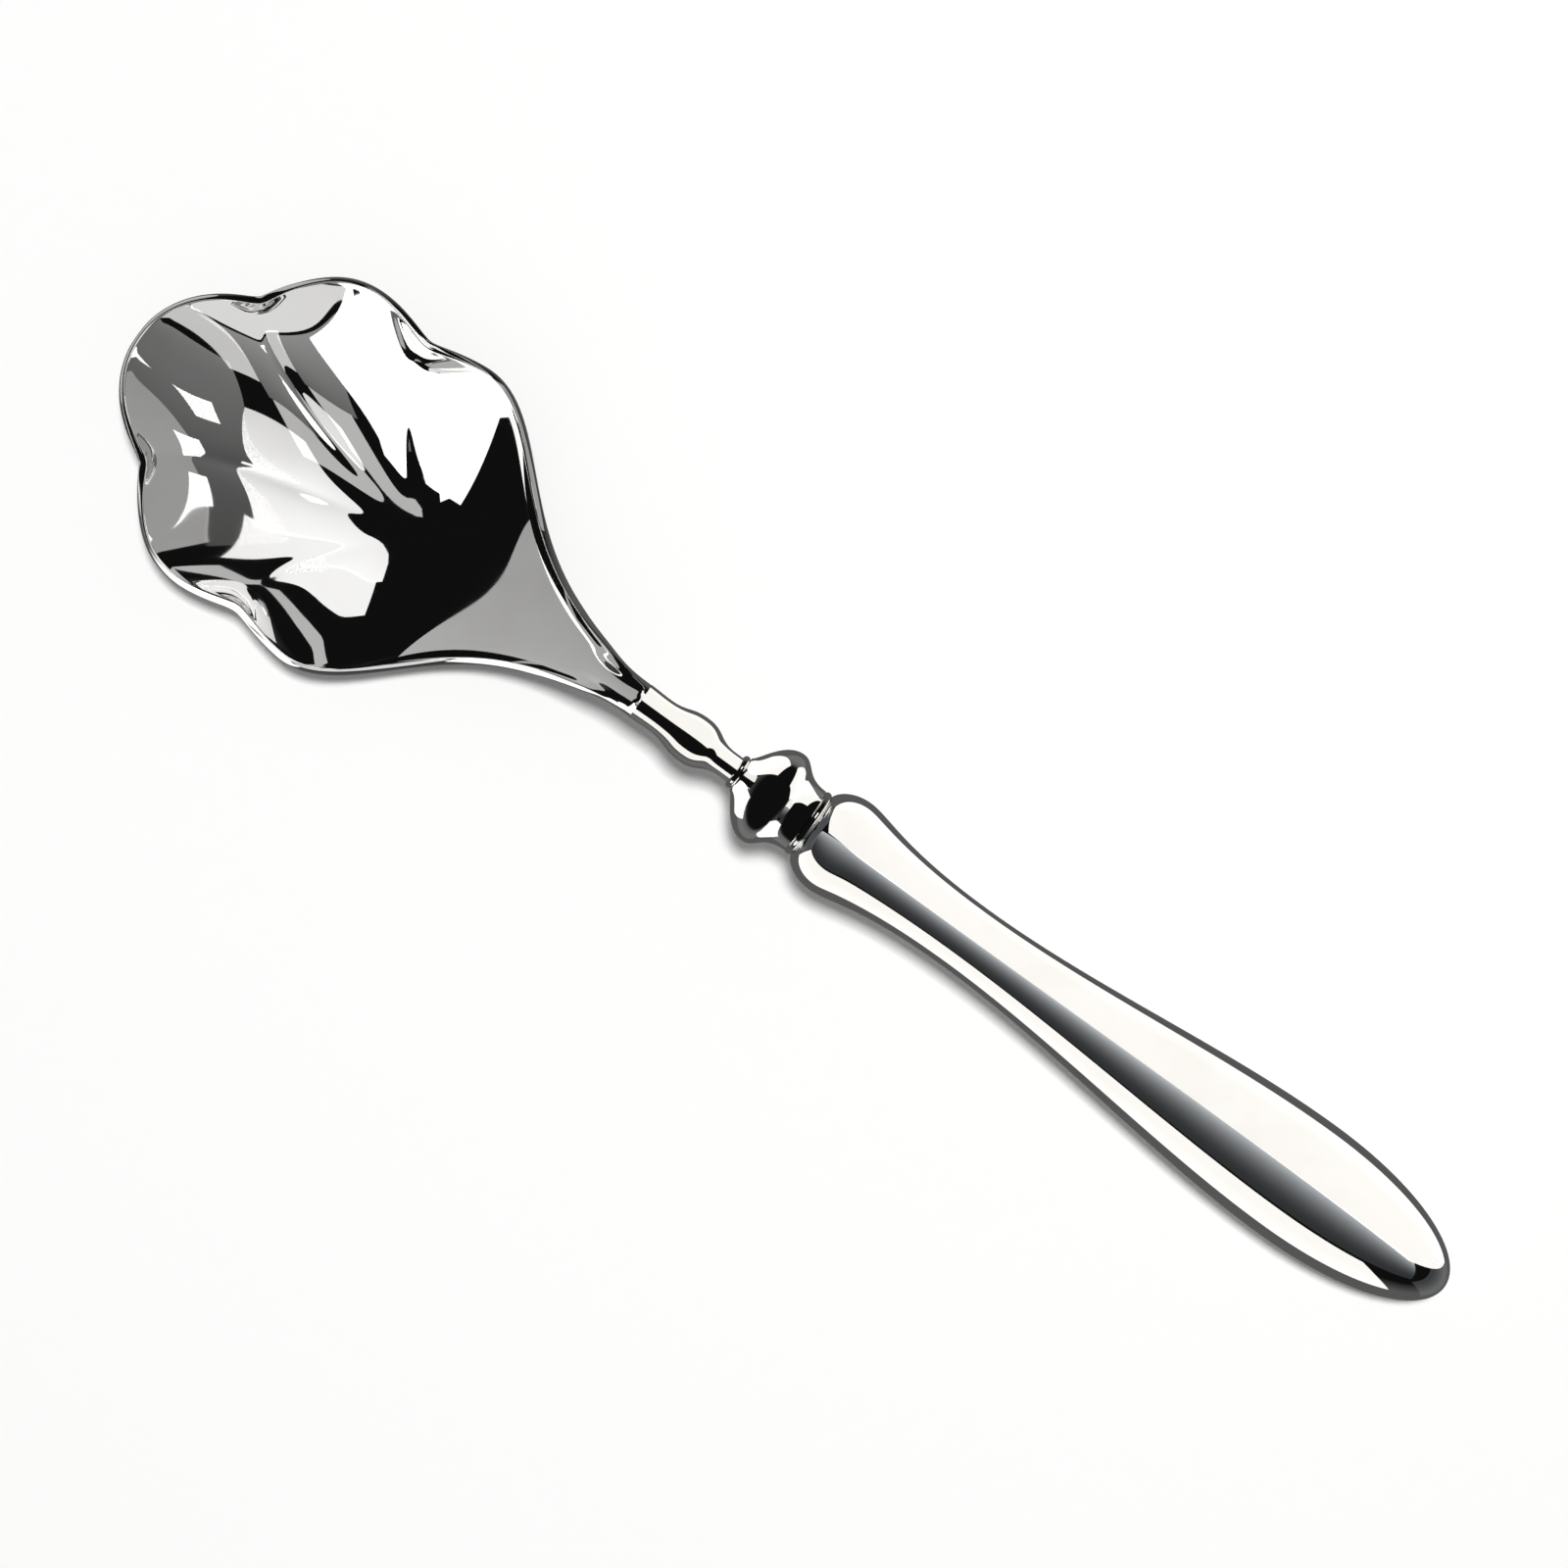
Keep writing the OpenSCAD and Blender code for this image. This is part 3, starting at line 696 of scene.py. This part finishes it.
class SPOON_OT_bowl(Operator):
    """Build the fluted bowl with its throat, neck and spigot"""

    bl_idname = "spoon.bowl"
    bl_label = "Build Bowl"

    def execute(self, context):
        sizes = values(context.scene.spoon_bowl)
        axis = Axis(context.scene)
        surface = ShellSurface(sizes, axis.tilt)
        side_steps = sizes.throat_steps + sizes.front_steps
        columns = 2 * side_steps
        rows = 2 * sizes.cross_steps + sizes.rim_steps
        bm = bmesh.new()
        bmesh.ops.create_grid(bm, x_segments=columns, y_segments=rows, size=1)
        bowl_x = axis.neck_x - sizes.throat_length
        for vert in bm.verts:
            column = round((vert.co.x + 1) / 2 * columns)
            row = round((vert.co.y + 1) / 2 * rows)
            near = min(column, columns - column)
            way = self.column_way(near, sizes)
            reach, depth = self.girth(row, rows, sizes)
            found = surface.sheet_point(way, reach, depth)
            if column > side_steps:
                found.y = -found.y
            vert.co = found + Vector((bowl_x, 0, 0))
        bmesh.ops.remove_doubles(bm, verts=bm.verts, dist=MERGE_DISTANCE)
        self.calm_neck(bm, axis.neck_x)
        self.add_spigot(bm, sizes, axis)
        self.cut_rest(bm)
        finish_piece(bm, "bowl_polished", "bowl", finishes().bowl_metal)
        return {"FINISHED"}

    def column_way(self, step, sizes):
        """Place along the bowl of a column of the grid."""
        if step <= sizes.throat_steps:
            return step / sizes.throat_steps
        return 1 + (step - sizes.throat_steps) / sizes.front_steps

    def girth(self, row, rows, sizes):
        """Reach and depth of a row, which runs over the inner face, round the rim and back outside."""
        face_reach = 1 - RIM_ROUND
        if row <= sizes.cross_steps:
            return face_reach * row / sizes.cross_steps, 0.0
        if row >= sizes.cross_steps + sizes.rim_steps:
            return face_reach * (rows - row) / sizes.cross_steps, 1.0
        a = math.pi * (row - sizes.cross_steps) / sizes.rim_steps
        return face_reach + RIM_ROUND * math.sin(a) ** RIM_ROUND_POWER, (1 - math.cos(a)) / 2

    def calm_neck(self, bm, joint_x):
        """Smooths the way from the throat's rim into the round neck, least where it begins."""
        for i in range(NECK_SMOOTHINGS):
            start = joint_x - mix(NECK_CALM_FROM, NECK_CALM_TO, i / NECK_SMOOTHINGS)
            verts = [vert for vert in bm.verts if start < vert.co.x < joint_x - NECK_CALM_END]
            bmesh.ops.smooth_vert(bm, verts=verts, factor=NECK_SMOOTHING_SHARE,
                                  use_axis_x=True, use_axis_y=True, use_axis_z=True)

    def add_spigot(self, bm, sizes, axis):
        """Closes the neck's end and draws the spigot out of it."""
        rim = [edge for edge in bm.edges if edge.is_boundary]
        face = bmesh.ops.contextual_create(bm, geom=rim)["faces"][0]
        margin = (sizes.neck_d - sizes.spigot_d) / 2
        bmesh.ops.inset_region(bm, faces=[face], thickness=margin, use_even_offset=True)
        out = bmesh.ops.extrude_face_region(bm, geom=[face])
        verts = [item for item in out["geom"] if isinstance(item, bmesh.types.BMVert)]
        along = axis.matrix(0).to_3x3() @ Vector((0, 0, sizes.spigot_length))
        bmesh.ops.translate(bm, verts=verts, vec=along)
        bmesh.ops.delete(bm, geom=[face], context="FACES_ONLY")

    def cut_rest(self, bm):
        """Cuts the small flat that the bowl rests on."""
        cut = bmesh.ops.bisect_plane(bm, geom=bm.verts[:] + bm.edges[:] + bm.faces[:], dist=MERGE_DISTANCE,
                                     plane_co=(0, 0, 0), plane_no=(0, 0, -1), clear_outer=True)
        edges = [item for item in cut["geom_cut"] if isinstance(item, bmesh.types.BMEdge)]
        bmesh.ops.contextual_create(bm, geom=edges)


class SPOON_OT_stem(Operator):
    """Build the turned baluster stem"""

    bl_idname = "spoon.stem"
    bl_label = "Build Stem"

    def execute(self, context):
        scene = context.scene
        sizes = values(scene.spoon_turned)
        count = sizes.outline_steps
        front = Vector((scene.spoon_bowl.neck_d / 2, 0))
        hollow = Vector((sizes.stem_hollow_d / 2, sizes.stem_hollow_at))
        swelling = Vector((sizes.stem_swell_d / 2, sizes.stem_swell_at))
        waist = Vector((sizes.stem_waist_d / 2, sizes.stem_length - sizes.stem_waist_run))
        rear = Vector((sizes.stem_waist_d / 2, sizes.stem_length))
        lead = STEM_PULL[0] * hollow.y
        rise = STEM_PULL[1] * (swelling.y - hollow.y)
        fall = STEM_PULL[1] * (waist.y - swelling.y)
        outline = (
            [front]
            + swell(front, hollow, (lead, lead), count)
            + swell(hollow, swelling, (rise, rise), count)
            + swell(swelling, waist, (fall, fall), count)
            + [rear]
        )
        turned_piece("stem", outline, Axis(scene).matrix(0), finishes().turned_metal, scene)
        return {"FINISHED"}


class SPOON_OT_rings(Operator):
    """Build the thin neck ring and the collar ring"""

    bl_idname = "spoon.rings"
    bl_label = "Build Rings"

    def execute(self, context):
        scene = context.scene
        sizes = values(scene.spoon_turned)
        axis = Axis(scene)
        metal = finishes().turned_metal
        neck_ring = bead_outline(sizes.neck_ring_d, sizes.neck_ring_t, sizes.outline_steps)
        collar = bead_outline(sizes.collar_d, sizes.collar_t, sizes.outline_steps)
        turned_piece("neck_ring", neck_ring, axis.matrix(axis.ring_at), metal, scene)
        turned_piece("collar_ring", collar, axis.matrix(axis.collar_at), metal, scene)
        return {"FINISHED"}


class SPOON_OT_knop(Operator):
    """Build the onion-shaped knop"""

    bl_idname = "spoon.knop"
    bl_label = "Build Knop"

    def execute(self, context):
        scene = context.scene
        sizes = values(scene.spoon_turned)
        axis = Axis(scene)
        count = sizes.outline_steps
        front = Vector((sizes.knop_front_d / 2, 0))
        wide = Vector((sizes.knop_d / 2, sizes.knop_wide_at))
        rear = Vector((sizes.knop_rear_d / 2, sizes.knop_length))
        lead = front + Vector((KNOP_FRONT_PULL[0] * (wide.x - front.x), KNOP_FRONT_PULL[1] * wide.y))
        behind = rear.y - wide.y
        outline = (
            [front]
            + curve(front, lead, wide - Vector((0, KNOP_FRONT_PULL[2] * wide.y)), wide, count)
            + swell(wide, rear, [pull * behind for pull in KNOP_REAR_PULL], count)
        )
        turned_piece("knop", outline, axis.matrix(axis.knop_at), finishes().turned_metal, scene)
        return {"FINISHED"}


class SPOON_OT_handle(Operator):
    """Build the two half shells of the hollow handle"""

    bl_idname = "spoon.handle"
    bl_label = "Build Handle"

    def execute(self, context):
        scene = context.scene
        sizes = values(scene.spoon_handle)
        turned = values(scene.spoon_turned)
        axis = Axis(scene)
        outer = handle_outline(sizes, turned.outline_steps)
        inner = inset(outer, sizes.handle_wall)
        for name, start in (("handle_upper_shell", 0.0), ("handle_lower_shell", math.pi)):
            bm = bmesh.new()
            section = bm.faces.new(draw_profile(bm, outer + inner[::-1]))
            spun = bmesh.ops.spin(bm, geom=[section], cent=(0, 0, 0), axis=(0, 0, 1),
                                  angle=math.pi, steps=turned.turn_steps // 2, use_merge=False)
            if not spun["geom_last"]:
                raise RuntimeError("the handle's half shell was not spun")
            place = axis.matrix(axis.handle_at) @ Matrix.Rotation(start, 4, "Z")
            bmesh.ops.transform(bm, matrix=place, verts=bm.verts)
            finish_piece(bm, name + "_polished", name, finishes().turned_metal)
        return {"FINISHED"}


class SPOON_OT_inner(Operator):
    """Give the rod, the plug and the filler inside the handle their finish"""

    bl_idname = "spoon.inner"
    bl_label = "Finish Inner Pieces"

    def execute(self, context):
        made = finishes()
        for node, material in (
            ("tang_rod", made.rod_steel),
            ("mouth_plug", made.rod_steel),
            ("handle_filler", made.set_filler),
        ):
            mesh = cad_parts[node].data
            mesh.materials.clear()
            mesh.materials.append(material)
        return {"FINISHED"}


# Tints of the soft panels
NEUTRAL = (1.0, 1.0, 1.0)
WARM = (1.0, 0.98, 0.945)
COOL = (0.9, 0.95, 1.0)

# Soft panels that a group of pieces mirrors, as (name, group, angles of its middle from overhead to the
# right and upwards, width, height and turn in degrees, brightness, tint). Right and up are the picture's
# for the bowl, and the spoon's own +X and +Y for the other groups.
PANELS = (
    ("bowl_strip", "bowl", 15, 9, 25, 50, -8, 1.08, NEUTRAL),
    ("bowl_strip_end", "bowl", 22, 43, 22, 21, -8, 1.0, NEUTRAL),
    ("bowl_foot", "bowl", -5, -15, 22, 24, 0, 0.5, NEUTRAL),
    ("bowl_side", "bowl", -31, -39, 12, 34, 0, 1.2, NEUTRAL),
    ("bowl_side_left", "bowl", -45, -40, 26, 60, -24, 1.2, NEUTRAL),
    ("bowl_side_right", "bowl", -28, -35, 15, 46, 16, 1.2, NEUTRAL),
    ("bowl_low_side", "bowl", -66, -68, 46, 40, 0, 1.2, NEUTRAL),
    ("bowl_dim_wall", "bowl", -5, -42, 26, 30, 0, 0.13, NEUTRAL),
    ("bowl_pale_wall", "bowl", 15, -46, 12, 28, 0, 0.6, NEUTRAL),
    ("bowl_low_wall", "bowl", 2, -74, 40, 30, 0, 0.75, NEUTRAL),
    ("bowl_dark_wall", "bowl", 35, 2, 24, 72, 0, 0.07, NEUTRAL),
    ("bowl_high_window", "bowl", 34.5, -12.5, 7, 9, 0, 1.1, NEUTRAL),
    ("bowl_low_window", "bowl", 47, 21, 9, 15, 0, 1.1, NEUTRAL),
    ("bowl_far_wall", "bowl", 70, 0, 46, 74, 0, 0.36, NEUTRAL),
    ("bowl_throat_wall", "bowl", -72, 60, 62, 80, -39, 0.36, NEUTRAL),
    ("bowl_edge_line", "bowl", -84, -18, 4, 52, 20, 1.1, NEUTRAL),
    ("bowl_spot", "bowl", 30, 71, 5, 20, 26, 0.5, NEUTRAL),
    ("stem_side", "stem", 0, 62, 130, 108, 0, 1.07, WARM),
    ("stem_low_side", "stem", 0, -74, 120, 34, 0, 1.09, WARM),
    ("stem_dim_floor", "stem", 0, -116, 120, 44, 0, 0.05, NEUTRAL),
    ("ring_line", "rings", 0, 35, 30, 20, 0, 1.2, NEUTRAL),
    ("ring_low_line", "rings", 0, -80, 60, 20, 0, 1.0, NEUTRAL),
    ("knop_front_high", "knop", -80, 62, 60, 42, 0, 1.08, WARM),
    ("knop_rear_high", "knop", 62, 68, 60, 56, 0, 1.08, WARM),
    ("knop_front_low", "knop", -100, -48, 36, 36, 0, 1.1, NEUTRAL),
    ("knop_rear_low", "knop", 94, -64, 36, 36, 0, 1.1, NEUTRAL),
    ("knop_side", "knop", 0, 112, 120, 40, 0, 0.07, NEUTRAL),
    ("knop_low_side", "knop", 0, -112, 120, 40, 0, 0.07, NEUTRAL),
    ("handle_side", "handle", 10, 65, 130, 116, 0, 1.12, WARM),
    ("handle_band", "handle", 0, -26, 130, 66, 0, 0.6, COOL),
    ("handle_low", "handle", -10, -90, 90, 56, -6, 1.09, WARM),
    ("handle_front", "handle", -84, 0, 40, 80, 0, 0.08, COOL),
    ("handle_tail", "handle", 104, 0, 50, 60, 0, 0.05, COOL),
)
# Panels that fade or brighten towards their lower edge, as (share of the brightness there, power)
PANEL_FADES = {
    "bowl_strip": (0.7, 1),
    "bowl_dim_wall": (2.2, 1),
    "bowl_dark_wall": (3.0, 0.5),
    "bowl_far_wall": (0.8, 1),
    "bowl_throat_wall": (0.8, 1),
    "handle_side": (0.97, 1),
    "handle_band": (0.05, 3),
}
# Panels with a rounded outline
ROUND_PANELS = ("bowl_throat_wall",)
# Pieces that mirror the panels of each group
PANEL_GROUPS = {
    "bowl": ("bowl",),
    "stem": ("stem",),
    "rings": ("neck_ring", "collar_ring"),
    "knop": ("knop",),
    "handle": ("handle_upper_shell", "handle_lower_shell"),
}
PANEL_DISTANCE = 3.0

FLOOR_SIZE = 6.0
FLOOR_ROUGHNESS = 0.9
FLOOR_SPECULAR = 0.1
# Scale of the floor's faint grain, and the shade of its darker places
FLOOR_GRAIN = 300.0
FLOOR_GRAIN_SHADE = 0.99
# The lamp over the floor is small and leans to the spoon's +Y side by an angle in degrees, so that the
# shadow is tight and falls on the other side
FLOOR_LIGHT_SIZE = 0.16
FLOOR_LIGHT_HEIGHT = 1.4
FLOOR_LIGHT_LEAN = 6.0
# Light of the room on the floor, and what the metal mirrors of the room above and below the horizon
ROOM_LIGHT = (0.24, 0.24, 0.24)
DARK_ROOM = (0.005, 0.005, 0.005)
GROUND_GLOW = (0.1, 0.1, 0.1)
# Heights of a mirrored direction between which the one fades into the other
HORIZON_FADE = (0.1, -0.35)


def raised(tree, value, power):
    """A value raised to a power."""
    node = tree.nodes.new("ShaderNodeMath")
    node.operation = "POWER"
    tree.links.new(value, node.inputs[0])
    node.inputs[1].default_value = power
    return node.outputs[0]


class SPOON_OT_stage(Operator):
    """Set up the floor, the soft panels, the surroundings and the camera"""

    bl_idname = "spoon.stage"
    bl_label = "Set Stage"

    def execute(self, context):
        scene = context.scene
        sizes = values(scene.spoon_stage)
        scene.view_settings.view_transform = "Standard"
        groups = {}
        for group, pieces in PANEL_GROUPS.items():
            groups[group] = bpy.data.collections.new(group + "_panels")
            for piece in pieces:
                groups[group].objects.link(scene.objects[piece + "_polished"])
        lit_floor = bpy.data.collections.new("floor_panels")
        lit_floor.objects.link(self.floor(scene))
        for name, group, right, up, width, height, angle, brightness, colour in PANELS:
            roll = sizes.camera_roll if group == "bowl" else 0.0
            facing = self.facing(right, up, math.radians(angle), roll)
            size = [2 * PANEL_DISTANCE * math.tan(math.radians(angles) / 2) for angles in (width, height)]
            light = self.lamp(scene, name, facing, PANEL_DISTANCE, size, brightness, groups[group])
            light.color = colour
            scene.objects[name].light_linking.blocker_collection = groups[group]
            if name in ROUND_PANELS:
                light.shape = "ELLIPSE"
            if name in PANEL_FADES:
                self.fade(light, facing, size[1], *PANEL_FADES[name])
        size = (FLOOR_LIGHT_SIZE, FLOOR_LIGHT_SIZE)
        facing = self.facing(0.0, FLOOR_LIGHT_LEAN, 0.0, 0.0)
        self.lamp(scene, "floor_light", facing, FLOOR_LIGHT_HEIGHT, size, sizes.floor_light, lit_floor)
        self.surroundings(scene)
        self.camera(scene, sizes)
        return {"FINISHED"}

    def floor(self, scene):
        """A plain pale floor, which the metal doesn't mirror: it mirrors panels on that side too."""
        bm = bmesh.new()
        bmesh.ops.create_grid(bm, x_segments=1, y_segments=1, size=FLOOR_SIZE / 2)
        mesh = bpy.data.meshes.new("floor")
        bm.to_mesh(mesh)
        bm.free()
        floor = bpy.data.objects.new("floor", mesh)
        scene.collection.objects.link(floor)
        material, tree, shader, coords = new_material("Pale floor")
        shader.inputs["Roughness"].default_value = FLOOR_ROUGHNESS
        shader.inputs["Specular IOR Level"].default_value = FLOOR_SPECULAR
        grain = noise(tree, coords, FLOOR_GRAIN, detail=2.0)
        pale = scene.spoon_finish.floor
        dimmer = [FLOOR_GRAIN_SHADE * channel for channel in pale]
        tree.links.new(two_tone(tree, grain, pale, dimmer), shader.inputs["Base Color"])
        mesh.materials.append(material)
        floor.visible_glossy = False
        return floor

    def facing(self, right, up, angle, roll):
        """Turn of a panel at the given angles from overhead, with its back away from the spoon."""
        zenith = math.radians(math.hypot(right, up))
        around = math.atan2(up, right) + roll
        aside = math.sin(zenith)
        back = Vector((aside * math.cos(around), aside * math.sin(around), math.cos(zenith)))
        overhead = Vector((0, 0, 1))
        return Quaternion(back, angle) @ overhead.rotation_difference(back) @ Quaternion(overhead, roll)

    def lamp(self, scene, name, facing, distance, size, brightness, receivers):
        """A soft rectangular lamp around the spoon that shines on some of the pieces only."""
        light = bpy.data.lights.new(name, "AREA")
        light.shape = "RECTANGLE"
        light.size = size[0]
        light.size_y = size[1]
        light.energy = brightness * math.pi * size[0] * size[1]
        lamp = bpy.data.objects.new(name, light)
        lamp.matrix_world = facing.to_matrix().to_4x4() @ Matrix.Translation((0, 0, distance))
        lamp.visible_camera = False
        lamp.light_linking.receiver_collection = receivers
        scene.collection.objects.link(lamp)
        return light

    def fade(self, light, facing, height, left, power):
        """Lets a panel fade or brighten towards its lower edge."""
        light.use_nodes = True
        tree = light.node_tree
        emission = tree.nodes["Emission"]
        where = tree.nodes.new("ShaderNodeNewGeometry").outputs["Position"]
        upwards = tree.nodes.new("ShaderNodeVectorMath")
        upwards.operation = "DOT_PRODUCT"
        tree.links.new(where, upwards.inputs[0])
        upwards.inputs[1].default_value = facing @ Vector((0, 1, 0))
        share = remap(tree, upwards.outputs["Value"], -height / 2, height / 2, 0.0, 1.0)
        strength = remap(tree, raised(tree, share, power), 0.0, 1.0, left, 1.0)
        tree.links.new(strength, emission.inputs["Strength"])

    def surroundings(self, scene):
        """Dim surroundings that the metal mirrors between the panels, paler below the horizon."""
        world = bpy.data.worlds.new("Studio")
        scene.world = world
        world.use_nodes = True
        tree = world.node_tree
        background = tree.nodes["Background"]
        direction = tree.nodes.new("ShaderNodeSeparateXYZ")
        tree.links.new(tree.nodes.new("ShaderNodeTexCoord").outputs["Generated"], direction.inputs[0])
        below = remap(tree, direction.outputs["Z"], *HORIZON_FADE, 0.0, 1.0)
        path = tree.nodes.new("ShaderNodeLightPath")
        seen = two_tone(tree, path.outputs["Is Glossy Ray"], ROOM_LIGHT, DARK_ROOM)
        tree.links.new(two_tone(tree, below, DARK_ROOM, GROUND_GLOW), seen.node.inputs["B"])
        tree.links.new(seen, background.inputs["Color"])

    def camera(self, scene, sizes):
        """A camera above the spoon, turned so that the bowl lies at the upper left."""
        aim = Vector((sizes.aim_x, sizes.aim_y, sizes.aim_height))
        back = Vector((sizes.lean_x, sizes.lean_y, 1)).normalized()
        up = (Vector((0, 1, 0)) - back * back.y).normalized()
        facing = Matrix((up.cross(back), up, back)).transposed().to_4x4()
        lens = bpy.data.cameras.new("camera")
        lens.lens = sizes.camera_lens
        camera = bpy.data.objects.new("camera", lens)
        turned = facing @ Matrix.Rotation(sizes.camera_roll, 4, "Z")
        camera.matrix_world = Matrix.Translation(aim + back * sizes.camera_distance) @ turned
        scene.collection.objects.link(camera)
        scene.camera = camera


OPERATORS = (
    SPOON_OT_bowl,
    SPOON_OT_stem,
    SPOON_OT_rings,
    SPOON_OT_knop,
    SPOON_OT_handle,
    SPOON_OT_inner,
    SPOON_OT_stage,
)
SETTINGS = (
    ("spoon_bowl", BowlSizes),
    ("spoon_turned", TurnedSizes),
    ("spoon_handle", HandleSizes),
    ("spoon_finish", FinishLooks),
    ("spoon_stage", StageSizes),
)


class SPOON_PT_panel(Panel):
    """Lists the operators and the sizes of the spoon"""

    bl_idname = "SPOON_PT_panel"
    bl_label = "Shell Serving Spoon"
    bl_space_type = "VIEW_3D"
    bl_region_type = "UI"
    bl_category = "Spoon"

    def draw(self, context):
        for operator in OPERATORS:
            self.layout.operator(operator.bl_idname)
        for name, group in SETTINGS:
            box = self.layout.box()
            for key in group.__annotations__:
                box.prop(getattr(context.scene, name), key)


def register():
    for name, group in SETTINGS:
        bpy.utils.register_class(group)
        setattr(bpy.types.Scene, name, PointerProperty(type=group))
    for operator in OPERATORS:
        bpy.utils.register_class(operator)
    bpy.utils.register_class(SPOON_PT_panel)


def unregister():
    bpy.utils.unregister_class(SPOON_PT_panel)
    for operator in reversed(OPERATORS):
        bpy.utils.unregister_class(operator)
    for name, group in reversed(SETTINGS):
        delattr(bpy.types.Scene, name)
        bpy.utils.unregister_class(group)


def main():
    register()
    bpy.ops.spoon.bowl()
    bpy.ops.spoon.stem()
    bpy.ops.spoon.rings()
    bpy.ops.spoon.knop()
    bpy.ops.spoon.handle()
    bpy.ops.spoon.inner()
    bpy.ops.spoon.stage()


if __name__ == "__main__":
    main()
